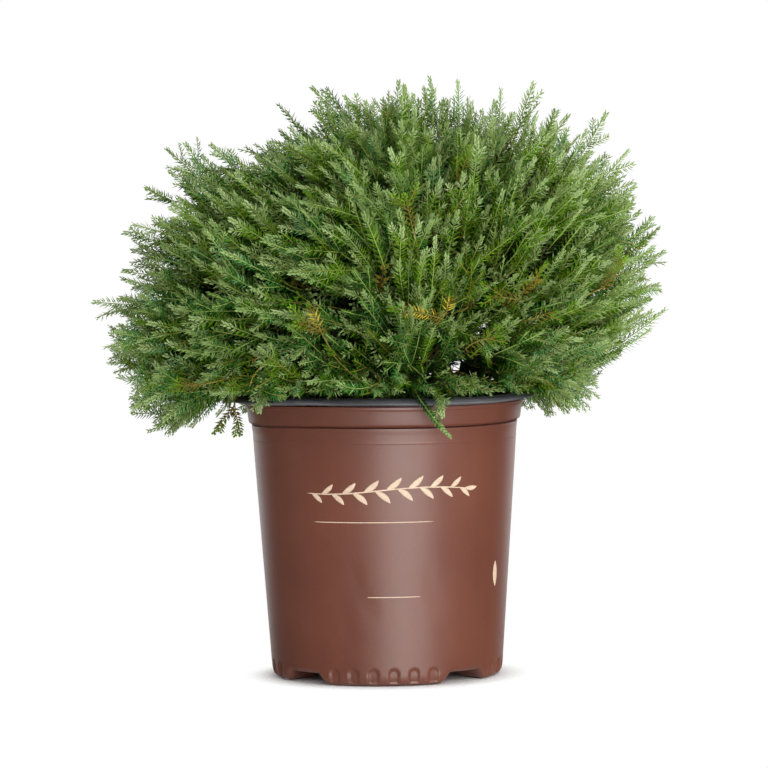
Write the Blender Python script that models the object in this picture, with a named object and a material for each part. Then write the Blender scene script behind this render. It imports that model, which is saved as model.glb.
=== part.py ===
# Potted dwarf arborvitae: a low dome of fine evergreen shoots on a short stem,
# in a brown nursery pot with a black rim. Metres, +Z up. The pot's axis is Z,
# it stands on z = 0, and its front, the side with the most even foot, faces -Y.
import math

import bmesh
import bpy
import numpy as np

# General
gap = 0.0003            # clearance between pieces that touch
segments = 36           # sides of every turned piece
golden_angle = math.pi * (3 - math.sqrt(5))

# Pot: radii are outer ones, heights are above the ground
wall = 0.002
foot_radius = 0.0905    # where the bottom corner meets the ground
base_radius = 0.0959    # top of the rounded bottom corner
neck_radius = 0.1101    # foot of the collar
collar_radius = 0.1128
rim_radius = 0.1152
corner_height = 0.0066
neck_height = 0.2105
collar_height = 0.2120
ridge_height = 0.2245
pot_height = 0.2272
foot_count = 4
foot_turn = math.radians(-91.8)     # direction of the front foot's middle
foot_height = 0.0095                # the recess under the floor
foot_inner = 0.066                  # inner edge of the feet on the ground
foot_slope = 0.006                  # their inner faces run in this far up to the recess
corner_step = (0.0038, 0.0019)      # middle of the rounded bottom corner, out and up from the foot
corner_draw = 0.6                   # share of an inset taken along the slanted faces there
notch_height = 0.0088
notch_half = ((15.0, -0.0010), (12.9, 0.0020), (10.6, 0.0072), (9.4, notch_height))
flutes_per_foot = 6
flute_pitch = math.radians(10.0)
flute_width = 0.0105
flute_height = 0.0140
flute_depth = 0.0011
flute_arch_points = 6
cutter_overrun = 0.004  # cutters pass this far beyond what they cut

# Rim ring on the pot's wall
lip_inner = rim_radius - wall
lip_profile = ((lip_inner, 0.2275), (0.1175, 0.2275), (0.1243, 0.2283),
               (0.1245, 0.2295), (0.1177, 0.2337), (lip_inner, 0.2335))

# Potting mix and stem
soil_height = 0.2095
# Stem: height above the mix and radius, from the flared foot up to the swelling at the fork
stem_profile = ((gap, 0.0150), (0.0035, 0.0112), (0.0100, 0.0085), (0.0195, 0.0083), (0.0245, 0.0107))
stem_sides = 16
stem_lean = 0.0030      # the foot stands this far to the left of the fork
fork_radius = 0.0110    # round swelling from which the boughs leave
fork_dome = (0.0010, 0.0045, 0.0080, 0.0100, 0.0108)    # heights of its rings above its middle

# Crown: reach is measured from the fork, the middle of the dome
fork = np.array((0.003, -0.003, 0.2365))
tiers = (("skirt", 9, 9.0, 30.0), ("middle", 7, 36.0, 12.0),
         ("upper", 4, 63.0, 40.0), ("top", 1, 90.0, 0.0))
# Outline from the front: angle from +X in degrees, distance from the fork
outline = ((-14, 0.135), (-6, 0.160), (5, 0.170), (10, 0.203), (20, 0.237), (30, 0.264),
           (50, 0.272), (60, 0.268), (75, 0.256), (90, 0.247), (104, 0.243), (115, 0.231),
           (130, 0.256), (144, 0.236), (150, 0.246), (160, 0.236), (165, 0.250),
           (176, 0.234), (184, 0.212), (190, 0.186), (197, 0.140))
# Outline from the side: elevation in degrees, distance from the fork
side_outline = ((-14, 0.150), (0, 0.210), (15, 0.236), (40, 0.248), (90, 0.247))
# Lowest height of the skirt by compass angle from +X
hem = ((-180, 0.199), (-135, 0.214), (-90, 0.240), (-45, 0.226), (0, 0.214),
       (90, 0.212), (180, 0.199))
lip_keep_radius = 0.136     # inside this the foliage stays above lip_keep_height
lip_keep_height = 0.2390
cell_margin = 0.0003        # each mass stays this far inside its own space

bough_sides = 6
bough_radius = 0.0024
bough_tip_radius = 0.0017
bough_end = 0.088           # where a bough ends and its mass begins
bough_sag = 0.0030
bough_steps = 4
mass_stem_end_radius = 0.0014

core_middle = 0.79          # shares of the reach
core_inner = 0.72
core_outer = 0.86
core_fill = 0.98
core_margin = 0.002         # from the borders of the mass's space
core_search = 0.12          # no core reaches further than this from its middle
core_floor = 0.2410         # cores stay above the rim ring

shoot_lattice = 350         # directions spread over the whole sphere
lowest_elevation = -14      # degrees
twig_radius = 0.0015
twig_end_radius = 0.0009
shoot_length = 0.062
shoot_half_width = 0.0120
shoot_core = 0.0016         # half width of the shoot inside its needles
shoot_margin = 0.003        # its axis stays this far from the borders
shoot_teeth = 3             # needle teeth down each side
shoot_toothed = 0.86        # share of its length with teeth, the rest is the tip
tooth_sweep = 0.8           # forward run of a tooth for each unit it stands out
shoot_scatter = 0.13        # seeded swing of each shoot
tip_spread = (0.975, 1.045) # tips end between these shares of the reach
twig_overlap = 0.005        # a twig runs this far up inside its shoot
seed = 7


def clear_scene():
    for item in list(bpy.data.objects):
        bpy.data.objects.remove(item, do_unlink=True)


def make_material(name, colour, roughness, metallic=0.0):
    material = bpy.data.materials.new(name)
    material.use_nodes = True
    shader = material.node_tree.nodes["Principled BSDF"]
    shader.inputs["Base Color"].default_value = (*colour, 1.0)
    shader.inputs["Roughness"].default_value = roughness
    shader.inputs["Metallic"].default_value = metallic
    return material


def add_object(name, mesh, material, collection=None, smooth=False):
    item = bpy.data.objects.new(name, mesh)
    (collection or bpy.context.scene.collection).objects.link(item)
    if material is not None:
        mesh.materials.append(material)
    if smooth:
        mesh.shade_smooth()
        mesh.set_sharp_from_angle(angle=math.radians(35))
    return item


def mesh_from(name, points, faces):
    mesh = bpy.data.meshes.new(name)
    mesh.from_pydata([tuple(point) for point in points], [], faces)
    mesh.update()
    return mesh


def turned_mesh(name, profile, ring=False):
    # a profile of (radius, height) points spun round the Z axis
    bm = bmesh.new()
    verts = [bm.verts.new((radius, 0.0, height)) for radius, height in profile]
    edges = [bm.edges.new(pair) for pair in zip(verts, verts[1:])]
    if ring:
        edges.append(bm.edges.new((verts[-1], verts[0])))
    bmesh.ops.spin(bm, geom=verts + edges, cent=(0, 0, 0), axis=(0, 0, 1),
                   angle=2 * math.pi, steps=segments, use_merge=True)
    bmesh.ops.remove_doubles(bm, verts=bm.verts, dist=1e-6)
    bmesh.ops.recalc_face_normals(bm, faces=bm.faces)
    mesh = bpy.data.meshes.new(name)
    bm.to_mesh(mesh)
    bm.free()
    return mesh


def prism_mesh(name, near, far):
    # closed body between two outlines with the same number of points
    bm = bmesh.new()
    loops = [[bm.verts.new(point) for point in outline] for outline in (near, far)]
    count = len(near)
    for index in range(count):
        after = (index + 1) % count
        bm.faces.new((loops[0][index], loops[0][after], loops[1][after], loops[1][index]))
    bm.faces.new(loops[0])
    bm.faces.new(loops[1])
    bmesh.ops.recalc_face_normals(bm, faces=bm.faces)
    mesh = bpy.data.meshes.new(name)
    bm.to_mesh(mesh)
    bm.free()
    return mesh


def boolean(target, operand, operation, solver="EXACT"):
    modifier = target.modifiers.new(operation.lower(), "BOOLEAN")
    modifier.operation = operation
    modifier.solver = solver
    if isinstance(operand, bpy.types.Collection):
        modifier.operand_type = "COLLECTION"
        modifier.collection = operand
    else:
        modifier.object = operand
    return modifier


def apply_modifiers(item):
    graph = bpy.context.evaluated_depsgraph_get()
    mesh = bpy.data.meshes.new_from_object(item.evaluated_get(graph))
    item.modifiers.clear()
    item.data = mesh


def keep_largest_shell(item):
    # fills hollows that the union sealed and drops loose scraps, leaving the outer body
    bm = bmesh.new()
    bm.from_mesh(item.data)
    unseen = set(bm.faces)
    shells = []
    while unseen:
        shell, stack = [], [unseen.pop()]
        while stack:
            face = stack.pop()
            shell.append(face)
            for edge in face.edges:
                for other in edge.link_faces:
                    if other in unseen:
                        unseen.remove(other)
                        stack.append(other)
        shells.append(shell)
    shells.sort(key=lambda shell: sum(face.calc_area() for face in shell))
    loose = [face for shell in shells[:-1] for face in shell]
    bmesh.ops.delete(bm, geom=loose, context="FACES")
    bm.to_mesh(item.data)
    bm.free()


def remove_collection(collection):
    for item in list(collection.objects):
        bpy.data.objects.remove(item, do_unlink=True)
    bpy.data.collections.remove(collection)


# Pot
def pot_form(name, inset, top):
    # the filled shape of the pot, drawn in by inset on every side and cut off at top
    wall_line = [(base_radius, corner_height), (neck_radius, neck_height),
                 (collar_radius, collar_height), (rim_radius, ridge_height)]
    wall_line = [(radius - inset, height) for radius, height in wall_line if height < top]
    if top > ridge_height:
        top_radius = rim_radius - inset
    else:
        top_radius = np.interp(top, (corner_height, neck_height), (base_radius, neck_radius)) - inset
    profile = [(0.0, foot_height + inset),
               (foot_inner - foot_slope + corner_draw * inset, foot_height + inset),
               (foot_inner + corner_draw * inset, inset),
               (foot_radius - corner_draw * inset, inset),
               (foot_radius + corner_step[0] - inset, corner_step[1] + corner_draw * inset),
               *wall_line, (top_radius, top), (0.0, top)]
    return turned_mesh(name, profile)


def notch_cutter(name, inset, turn, collection):
    # a parallel channel under the wall, wider at the ground; inset widens it for the inner forms
    half_widths = [base_radius * math.sin(math.radians(angle)) + inset for angle, _ in notch_half]
    levels = [height + (inset if height > 0 else 0.0) for _, height in notch_half]
    section = [(-side, level) for side, level in zip(half_widths, levels)]
    section += [(side, level) for side, level in zip(half_widths, levels)][::-1]
    near = [(foot_inner - foot_slope - 2 * cutter_overrun, *point) for point in section]
    far = [(base_radius + cutter_overrun, *point) for point in section]
    item = add_object(name, prism_mesh(name, near, far), None, collection)
    item.rotation_euler.z = turn
    return item


def flute_cutter(name, turn, collection):
    # a flat-backed groove with an arched top, open at the ground
    half = flute_width / 2
    crown = flute_height - half
    arch = [(half * math.cos(angle), crown + half * math.sin(angle))
            for angle in np.linspace(0, math.pi, flute_arch_points)]
    outline_2d = [(half, -cutter_overrun), *arch, (-half, -cutter_overrun)]
    near = [(base_radius - flute_depth, side, height) for side, height in outline_2d]
    far = [(base_radius + cutter_overrun, side, height) for side, height in outline_2d]
    item = add_object(name, prism_mesh(name, near, far), None, collection)
    item.rotation_euler.z = turn
    return item


def cut_with(item, name, make_cutters):
    # gathers cutters in a collection, cuts them all out of the item and removes them
    cutters = bpy.data.collections.new(name)
    bpy.context.scene.collection.children.link(cutters)
    make_cutters(cutters)
    bpy.context.view_layer.update()
    boolean(item, cutters, "DIFFERENCE")
    apply_modifiers(item)
    remove_collection(cutters)


def cut_notches(item, inset):
    def make_cutters(cutters):
        for index in range(foot_count):
            turn = foot_turn + (index + 0.5) * 2 * math.pi / foot_count
            notch_cutter(f"{item.name}_notch_{index}", inset, turn, cutters)

    cut_with(item, item.name + "_notches", make_cutters)


def cut_flutes(item):
    def make_cutters(cutters):
        for index in range(foot_count):
            middle = foot_turn + index * 2 * math.pi / foot_count
            for flute in range(flutes_per_foot):
                offset = (flute - (flutes_per_foot - 1) / 2) * flute_pitch
                flute_cutter(f"{item.name}_flute_{index}_{flute}", middle + offset, cutters)

    cut_with(item, item.name + "_flutes", make_cutters)


def build_pot():
    brown = make_material("pot_brown", (0.130, 0.060, 0.040), 0.45)
    pot = add_object("pot", pot_form("pot", 0.0, pot_height), brown)
    cut_notches(pot, 0.0)
    cut_flutes(pot)
    hollow = add_object("pot_hollow", pot_form("pot_hollow", wall, pot_height + cutter_overrun), None)
    cut_notches(hollow, wall)
    boolean(pot, hollow, "DIFFERENCE")
    apply_modifiers(pot)
    bpy.data.objects.remove(hollow, do_unlink=True)
    pot.data.shade_smooth()
    pot.data.set_sharp_from_angle(angle=math.radians(35))


def build_lip():
    black = make_material("lip_black", (0.020, 0.022, 0.024), 0.35)
    add_object("pot_lip", turned_mesh("pot_lip", lip_profile, ring=True), black, smooth=True)


def build_soil():
    mix = make_material("potting_mix", (0.035, 0.024, 0.016), 0.95)
    soil = add_object("soil", pot_form("soil", wall + gap, soil_height), mix)
    cut_notches(soil, wall + gap)


# Limbs
def tube(points, radii, sides, roll=None):
    # a closed tube through points with one radius each; the first ring's side looks along roll
    points = np.asarray(points, float)
    tangents = np.gradient(points, axis=0)
    tangents /= np.linalg.norm(tangents, axis=1)[:, None]
    guide = np.array((0.0, 0.0, 1.0)) if roll is None else np.asarray(roll, float)
    if abs(tangents[0] @ guide) > 0.9 * np.linalg.norm(guide):
        guide = np.array((1.0, 0.0, 0.0))
    side = np.cross(tangents, guide)
    side /= np.linalg.norm(side, axis=1)[:, None]
    up = np.cross(tangents, side)
    angles = 2 * np.pi * np.arange(sides) / sides
    spokes = (np.cos(angles)[None, :, None] * side[:, None]
              + np.sin(angles)[None, :, None] * up[:, None])
    rings = points[:, None] + np.asarray(radii)[:, None, None] * spokes
    verts = rings.reshape(-1, 3)
    faces = [tuple(reversed(range(sides)))]
    for row in range(len(points) - 1):
        for index in range(sides):
            after = (index + 1) % sides
            low, high = row * sides, (row + 1) * sides
            faces.append((low + index, low + after, high + after, high + index))
    faces.append(tuple(range(len(verts) - sides, len(verts))))
    return verts, faces


def build_trunk():
    bark = make_material("bark", (0.105, 0.060, 0.035), 0.85)
    stem_heights, stem_radii = np.array(stem_profile).T
    dome = np.array(fork_dome)
    heights = np.concatenate((soil_height + stem_heights, fork[2] + dome))
    radii = np.concatenate((stem_radii, np.sqrt(fork_radius ** 2 - dome ** 2)))
    lean = np.clip((fork[2] - heights) / (fork[2] - heights[0]), 0, 1) * stem_lean
    points = np.stack((fork[0] - lean, np.full_like(heights, fork[1]), heights), axis=1)
    verts, faces = tube(points, radii, stem_sides, roll=(0, 1, 0))
    verts[:stem_sides, 2] = heights[0]
    add_object("trunk", mesh_from("trunk", verts, faces), bark, smooth=True)
    return bark


def compass(azimuth, elevation):
    azimuth, elevation = math.radians(azimuth), math.radians(elevation)
    return np.array((math.cos(elevation) * math.cos(azimuth),
                     math.cos(elevation) * math.sin(azimuth), math.sin(elevation)))


def mass_directions():
    # one direction from the fork for each mass, tier by tier, with a little seeded shift
    rng = np.random.default_rng(seed)
    rows = []
    for tier, count, elevation, start in tiers:
        for index in range(count):
            shift = rng.uniform(-2.5, 2.5, 2) if count > 1 else np.zeros(2)
            azimuth = start + index * 360 / count + shift[0]
            rows.append((f"{tier}_{index + 1:02d}", compass(azimuth, elevation + shift[1])))
    return rows


def bough_axis(heading):
    # from just off the fork's swelling to bough_end, sagging a little on the way
    share = np.linspace(0, 1, bough_steps)
    lengths = fork_radius + gap + share * (bough_end - fork_radius - 2 * gap)
    sag = -bough_sag * np.sin(np.pi * share) * math.hypot(heading[0], heading[1])
    points = fork + lengths[:, None] * heading
    points[:, 2] += sag
    return points


def build_bough(name, heading, bark):
    points = bough_axis(heading)
    radii = np.linspace(bough_radius, bough_tip_radius, len(points))
    verts, faces = tube(points, radii, bough_sides)
    flat = [square_to(verts[:bough_sides], points[0], heading), verts[bough_sides:-bough_sides],
            square_to(verts[-bough_sides:], points[-1], heading)]
    add_object(name, mesh_from(name, np.concatenate(flat), faces), bark, smooth=True)


def square_to(ring, centre, heading):
    # lays an end ring into the plane across the heading
    return ring - ((ring - centre) @ heading)[:, None] * heading


# Crown shape
def reach(headings):
    # distance from the fork to the tips: the front outline, giving way to the side outline
    # for directions towards the front and back
    headings = np.atleast_2d(headings)
    angle = np.degrees(np.arctan2(headings[:, 2], headings[:, 0]))
    angle = np.where(angle < -90, angle + 360, angle)
    front = np.interp(angle, *zip(*outline))
    side = np.interp(np.degrees(np.arcsin(np.clip(headings[:, 2], -1, 1))), *zip(*side_outline))
    share = headings[:, 1] ** 2
    return front * (1 - share) + side * share


def above_hem(points):
    compass_angle = np.degrees(np.arctan2(points[:, 1], points[:, 0]))
    outside_lip = np.hypot(points[:, 0], points[:, 1]) > lip_keep_radius
    over_lip = points[:, 2] > lip_keep_height
    return (points[:, 2] >= np.interp(compass_angle, *zip(*hem))) & (outside_lip | over_lip)


def borders(headings, own):
    # unit normals of the planes that part one mass's space from its neighbours'
    others = np.delete(headings, own, axis=0)
    normals = headings[own] - others
    return normals / np.linalg.norm(normals, axis=1)[:, None]


def depth_inside(points, normals):
    # how far each point lies inside the space, negative outside
    return ((points - fork) @ normals.T).min(axis=1)


def lean_of(heading):
    # shoots lean left on the left half, stand up towards the front and back
    left = np.clip(0.27 - 2.4 * heading[0], 0.0, 0.9) * min(1.0, 0.35 + max(heading[2], 0.0))
    leaning = np.array((heading[0] - left, 0.6 * heading[1], heading[2]))
    return leaning / np.linalg.norm(leaning)


def core_mesh(name, heading, normals):
    # a low lens in the outer part of the mass's space: each corner of an icosphere is pushed
    # out from the middle until it meets a border, the inner or outer face or the floor
    bm = bmesh.new()
    bmesh.ops.create_icosphere(bm, subdivisions=2, radius=1.0)
    middle = fork + core_middle * reach(heading)[0] * heading
    steps = np.linspace(0.002, core_search, 60)
    for vert in bm.verts:
        ray = np.array(vert.co)
        ray /= np.linalg.norm(ray)
        points = middle + steps[:, None] * ray
        away = points - fork
        distance = np.linalg.norm(away, axis=1)
        full = reach(away / distance[:, None])
        inside = ((distance < core_outer * full) & (distance > core_inner * full)
                  & (depth_inside(points, normals) > core_margin) & (points[:, 2] > core_floor))
        last = np.argmin(inside) if not inside.all() else len(steps) - 1
        vert.co = middle + core_fill * steps[max(last - 1, 0)] * ray
    bmesh.ops.recalc_face_normals(bm, faces=bm.faces)
    mesh = bpy.data.meshes.new(name)
    bm.to_mesh(mesh)
    bm.free()
    return mesh, middle


# Twigs and shoots
def shoot_mesh(name, base, tip, side, normals):
    # a slim three-sided shoot whose two upper faces are drawn out into needle teeth
    along = tip - base
    length = np.linalg.norm(along)
    forward = along / length
    side = side - (side @ forward) * forward
    side /= np.linalg.norm(side)
    up = np.cross(side, forward)
    stations = np.linspace(0, shoot_toothed, shoot_teeth + 1)
    verts = []
    for share in stations:
        centre = base + share * along
        slim = shoot_core * (1 - 0.45 * share)
        verts += [centre + slim * up, centre - slim * side - 0.5 * slim * up,
                  centre + slim * side - 0.5 * slim * up]
    faces = [(0, 1, 2)]
    for tooth in range(shoot_teeth):
        low, high = 3 * tooth, 3 * tooth + 3
        for sign, corner in ((-1, 1), (1, 2)):
            root = base + (stations[tooth] + 0.5 * (stations[1] - stations[0])) * along
            out = shoot_half_width * (sign * side + tooth_sweep * forward)
            point = drawn_in(root, out, normals)
            top = len(verts)
            verts.append(point)
            ring = [low, high, high + corner, low + corner]
            if sign > 0:
                ring.reverse()
            faces += [(ring[index], ring[(index + 1) % 4], top) for index in range(4)]
        faces.append((low + 1, high + 1, high + 2, low + 2))
    end = len(verts)
    verts.append(tip)
    last = 3 * shoot_teeth
    faces += [(last, end, last + 1), (last + 1, end, last + 2), (last + 2, end, last)]
    mesh = mesh_from(name, verts, faces)
    bm = bmesh.new()
    bm.from_mesh(mesh)
    bmesh.ops.recalc_face_normals(bm, faces=bm.faces)
    bm.to_mesh(mesh)
    bm.free()
    return mesh, np.array(verts)


def drawn_in(root, out, normals):
    # the tip of a needle, shortened where it would leave the mass's space
    inner = (root - fork) @ normals.T
    rate = out @ normals.T
    crossing = rate < 0
    if not crossing.any():
        return root + out
    share = ((inner - cell_margin)[crossing] / -rate[crossing]).min()
    return root + min(1.0, max(share, 0.2)) * out


def tip_headings():
    # an even golden-angle spiral over the sphere, down to the skirt's lowest tips
    index = np.arange(shoot_lattice) + 0.5
    height = 1 - 2 * index / shoot_lattice
    ring = np.sqrt(1 - height ** 2)
    turn = golden_angle * index
    spiral = np.stack((ring * np.cos(turn), ring * np.sin(turn), height), axis=1)
    return spiral[height > math.sin(math.radians(lowest_elevation))]


def place_shoot(tip, heading, length, normals, spread):
    # swings the shoot from its lean towards the straight way out until it stays inside
    for share in (1.0, 0.7, 0.4, 0.15):
        forward = share * lean_of(heading) + (1 - share) * heading + spread
        forward /= np.linalg.norm(forward)
        base = tip - length * forward
        axis = np.linspace(base, tip, 6)
        if depth_inside(axis, normals).min() > shoot_margin and above_hem(axis).all():
            return base, forward
    return None


def mass_shoots(own, heading, headings, normals, rng):
    # base, tip and side of each shoot of one mass, and the twig that carries it
    shoots, twigs = [], []
    middle = fork + core_middle * reach(heading)[0] * heading
    for aim in tip_headings():
        if np.argmax(headings @ aim) != own:
            continue
        tip = fork + reach(aim)[0] * rng.uniform(*tip_spread) * aim
        place = place_shoot(tip, aim, shoot_length * rng.uniform(0.9, 1.1), normals,
                            rng.normal(0, shoot_scatter, 3))
        if place is None:
            continue
        base, forward = place
        side = np.cross(forward, aim + rng.normal(0, 0.35, 3) + (0.0, 0.02, 0.0))
        twigs.append((middle, base + twig_overlap * forward))
        shoots.append((base, tip, side))
    return shoots, twigs


def build_mass(name, own, headings, foliage, rng):
    heading = headings[own]
    normals = borders(headings, own)
    mesh, middle = core_mesh(name, heading, normals)
    mass = add_object(name, mesh, foliage)
    pieces = bpy.data.collections.new(name + "_pieces")
    bpy.context.scene.collection.children.link(pieces)
    start = fork + bough_end * heading
    verts, faces = tube((start, middle), (bough_tip_radius, mass_stem_end_radius), 4)
    add_object(name + "_stem", mesh_from(name + "_stem", verts, faces), None, pieces)
    shoots, twigs = mass_shoots(own, heading, headings, normals, rng)
    for index, (root, end) in enumerate(twigs):
        label = f"{name}_twig_{index}"
        verts, faces = tube((root, end), (twig_radius, twig_end_radius), 3)
        add_object(label, mesh_from(label, verts, faces), None, pieces)
    for index, (base, tip, side) in enumerate(shoots):
        label = f"{name}_shoot_{index}"
        blade, points = shoot_mesh(label, base, tip, side, normals)
        if depth_inside(points, normals).min() > 0 and above_hem(points).all():
            add_object(label, blade, None, pieces)
    boolean(mass, pieces, "UNION", "MANIFOLD")
    apply_modifiers(mass)
    keep_largest_shell(mass)
    remove_collection(pieces)


def build_crown(bark):
    rng = np.random.default_rng(seed + 1)
    green = make_material("foliage", (0.085, 0.145, 0.045), 0.65)
    rows = mass_directions()
    headings = np.array([heading for _, heading in rows])
    for own, (name, heading) in enumerate(rows):
        tier, number = name.split("_")
        build_bough(f"{tier}_bough_{number}", heading, bark)
        build_mass(f"{tier}_foliage_{number}", own, headings, green, rng)


clear_scene()
build_pot()
build_lip()
build_soil()
build_crown(build_trunk())
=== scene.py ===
import bpy
import numpy as np
from mathutils import Matrix, Vector


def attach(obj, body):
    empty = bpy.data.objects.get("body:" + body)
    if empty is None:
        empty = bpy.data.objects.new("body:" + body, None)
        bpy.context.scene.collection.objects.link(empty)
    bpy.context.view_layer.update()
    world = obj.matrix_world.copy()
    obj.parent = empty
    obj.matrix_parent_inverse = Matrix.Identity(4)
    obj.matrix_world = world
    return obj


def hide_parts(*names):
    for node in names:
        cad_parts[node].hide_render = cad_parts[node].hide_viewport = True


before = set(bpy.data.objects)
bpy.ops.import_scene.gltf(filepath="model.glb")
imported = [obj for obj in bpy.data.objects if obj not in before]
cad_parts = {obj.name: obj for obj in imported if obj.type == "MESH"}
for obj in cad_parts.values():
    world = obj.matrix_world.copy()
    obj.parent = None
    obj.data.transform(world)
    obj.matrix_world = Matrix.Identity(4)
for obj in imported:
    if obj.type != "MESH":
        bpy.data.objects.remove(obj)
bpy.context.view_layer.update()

goldenAngle = np.pi * (3 - np.sqrt(5))
print("frame in, solids:", len(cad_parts))


def paint(red, green, blue):
    # display values 0-255 to the linear colour a shader wants
    return tuple(float(value) for value in (np.array((red, green, blue)) / 255) ** 2.2) + (1.0,)


# Shader maths: a Wire is a socket, and sums and products of Wires add Math nodes
class Wire:
    def __init__(self, finish, socket):
        self.finish, self.socket = finish, socket

    def withMath(self, operation, first, second):
        return self.finish.add("ShaderNodeMath", {"operation": operation}, {0: first, 1: second})

    def __add__(self, other):
        return self.withMath("ADD", self, other)

    def __radd__(self, other):
        return self.withMath("ADD", other, self)

    def __sub__(self, other):
        return self.withMath("SUBTRACT", self, other)

    def __rsub__(self, other):
        return self.withMath("SUBTRACT", other, self)

    def __mul__(self, other):
        return self.withMath("MULTIPLY", self, other)

    def __rmul__(self, other):
        return self.withMath("MULTIPLY", other, self)

    def clamped(self, low, high):
        # 0 at low, 1 at high, straight between
        return self.finish.add("ShaderNodeMapRange", {"clamp": True},
                               {0: self, 1: low, 2: high, 3: 0.0, 4: 1.0})


class Finish:
    # a material being built; constants go straight onto the shader's own sockets
    def __init__(self, name, constants):
        self.material = bpy.data.materials.new(name)
        self.material.use_nodes = True
        self.tree = self.material.node_tree
        self.shader = self.tree.nodes["Principled BSDF"]
        for socket, value in constants.items():
            self.shader.inputs[socket].default_value = value

    def add(self, kind, settings, sockets, output=0):
        node = self.tree.nodes.new(kind)
        for key, value in settings.items():
            setattr(node, key, value)
        for key, value in sockets.items():
            if isinstance(value, Wire):
                self.tree.links.new(value.socket, node.inputs[key])
            else:
                node.inputs[key].default_value = value
        return Wire(self, node.outputs[output])

    def place(self, scale=(1.0, 1.0, 1.0)):
        # Object coordinates, stretched for a grain that runs one way
        raw = self.add("ShaderNodeTexCoord", {}, {}, "Object")
        return self.add("ShaderNodeMapping", {}, {"Vector": raw, "Scale": scale})

    def noise(self, where, scale, detail=3.0, rough=0.5):
        return self.add("ShaderNodeTexNoise", {},
                        {"Vector": where, "Scale": scale, "Detail": detail, "Roughness": rough}, "Fac")

    def mix(self, share, low, high):
        return self.add("ShaderNodeMix", {"data_type": "RGBA"}, {0: share, 6: low, 7: high}, 2)

    def bump(self, height, distance, strength=1.0):
        return self.add("ShaderNodeBump", {}, {"Height": height, "Distance": distance, "Strength": strength})

    def feed(self, **wires):
        names = {"colour": "Base Color", "roughness": "Roughness", "normal": "Normal", "alpha": "Alpha"}
        for key, wire in wires.items():
            self.tree.links.new(wire.socket, self.shader.inputs[names[key]])
        return self.material


class Sky(Finish):
    # the world's nodes, built in the same way: white, with the strength wired by whoever makes it
    def __init__(self, name):
        world = bpy.context.scene.world = bpy.data.worlds.new(name)
        world.use_nodes = True
        self.tree = world.node_tree
        self.tree.nodes["Background"].inputs["Color"].default_value = (1.0, 1.0, 1.0, 1.0)


# Meshes from whole arrays
def putMesh(name, points, faceSets, materials, slotName, picks=None, smooth=True):
    # faceSets: arrays of triangles and arrays of quads; picks: a material number for each face
    faceSets = [np.asarray(faces, np.int32) for faces in faceSets if len(faces)]
    corners = np.concatenate([faces.ravel() for faces in faceSets])
    sides = np.concatenate([np.full(len(faces), faces.shape[1]) for faces in faceSets])
    mesh = bpy.data.meshes.new(name)
    mesh.vertices.add(len(points))
    mesh.vertices.foreach_set("co", np.asarray(points, np.float32).ravel())
    mesh.loops.add(len(corners))
    mesh.loops.foreach_set("vertex_index", corners)
    mesh.polygons.add(len(sides))
    mesh.polygons.foreach_set("loop_start", (np.cumsum(sides) - sides).astype(np.int32))
    for material in materials:
        mesh.materials.append(material)
    if picks is not None:
        mesh.polygons.foreach_set("material_index", np.asarray(picks, np.int32))
    mesh.update(calc_edges=True)
    mesh.validate()
    if smooth:
        mesh.shade_smooth()
    else:
        mesh.shade_flat()
    piece = bpy.data.objects.new(name, mesh)
    bpy.context.scene.collection.objects.link(piece)
    if slotName:
        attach(piece, "root")
    return piece


def turns(count):
    # even angles once round
    return np.linspace(0, 2 * np.pi, count, endpoint=False)


def roundAbout(radius, turn, height):
    # points at a radius, an angle and a height
    return np.stack(np.broadcast_arrays(radius * np.cos(turn), radius * np.sin(turn), height), -1)


def dealtOut(counts):
    # for everything that is dealt out: whose it is, and its own number there, from 0
    owner = np.repeat(np.arange(len(counts)), counts)
    return owner, np.arange(len(owner)) - np.repeat(np.cumsum(counts) - counts, counts)


def copied(faces, block, count):
    # the same faces for each of count copies, whose points follow each other in blocks
    return (faces[None] + block * np.arange(count)[:, None, None]).reshape(-1, faces.shape[1])


def between(rng, limits, count):
    # random numbers spread evenly between two limits
    return rng.uniform(limits[0], limits[1], count)


def gridQuads(rows, columns, closedRows=False):
    # neighbours on a grid whose columns run round; outward when rows climb and columns turn left
    starts = np.arange(rows if closedRows else rows - 1)
    row, column = np.meshgrid(starts, np.arange(columns), indexing="ij")
    after, above = (column + 1) % columns, (row + 1) % rows
    quads = (row * columns + column, row * columns + after, above * columns + after, above * columns + column)
    return np.stack(quads, -1).reshape(-1, 4)


def poleFans(rows, columns):
    # triangles from the first and last ring to the two poles stored after the grid
    column = np.arange(columns)
    after, last, low = (column + 1) % columns, (rows - 1) * columns, rows * columns
    start = np.stack((np.full(columns, low), after, column), -1)
    end = np.stack((last + column, last + after, np.full(columns, low + 1)), -1)
    return np.concatenate((start, end))


def roundedLine(corners, cuts, steps=4):
    # each inner corner c becomes the parabola (1-t)^2 a + 2(1-t)t c + t^2 b, a and b a cut away from it
    corners, cuts = np.asarray(corners, float), np.asarray(cuts, float)[1:-1, None]
    before, here, after = corners[:-2], corners[1:-1], corners[2:]
    back, ahead = before - here, after - here
    backLength = np.linalg.norm(back, axis=1)[:, None]
    aheadLength = np.linalg.norm(ahead, axis=1)[:, None]
    near = here + back / backLength * np.minimum(cuts, 0.45 * backLength)
    far = here + ahead / aheadLength * np.minimum(cuts, 0.45 * aheadLength)
    t = np.linspace(0, 1, steps + 1)[None, :, None]
    bends = (1 - t) ** 2 * near[:, None] + 2 * (1 - t) * t * here[:, None] + t ** 2 * far[:, None]
    return np.concatenate((corners[:1], bends.reshape(-1, 2), corners[-1:]))


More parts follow.
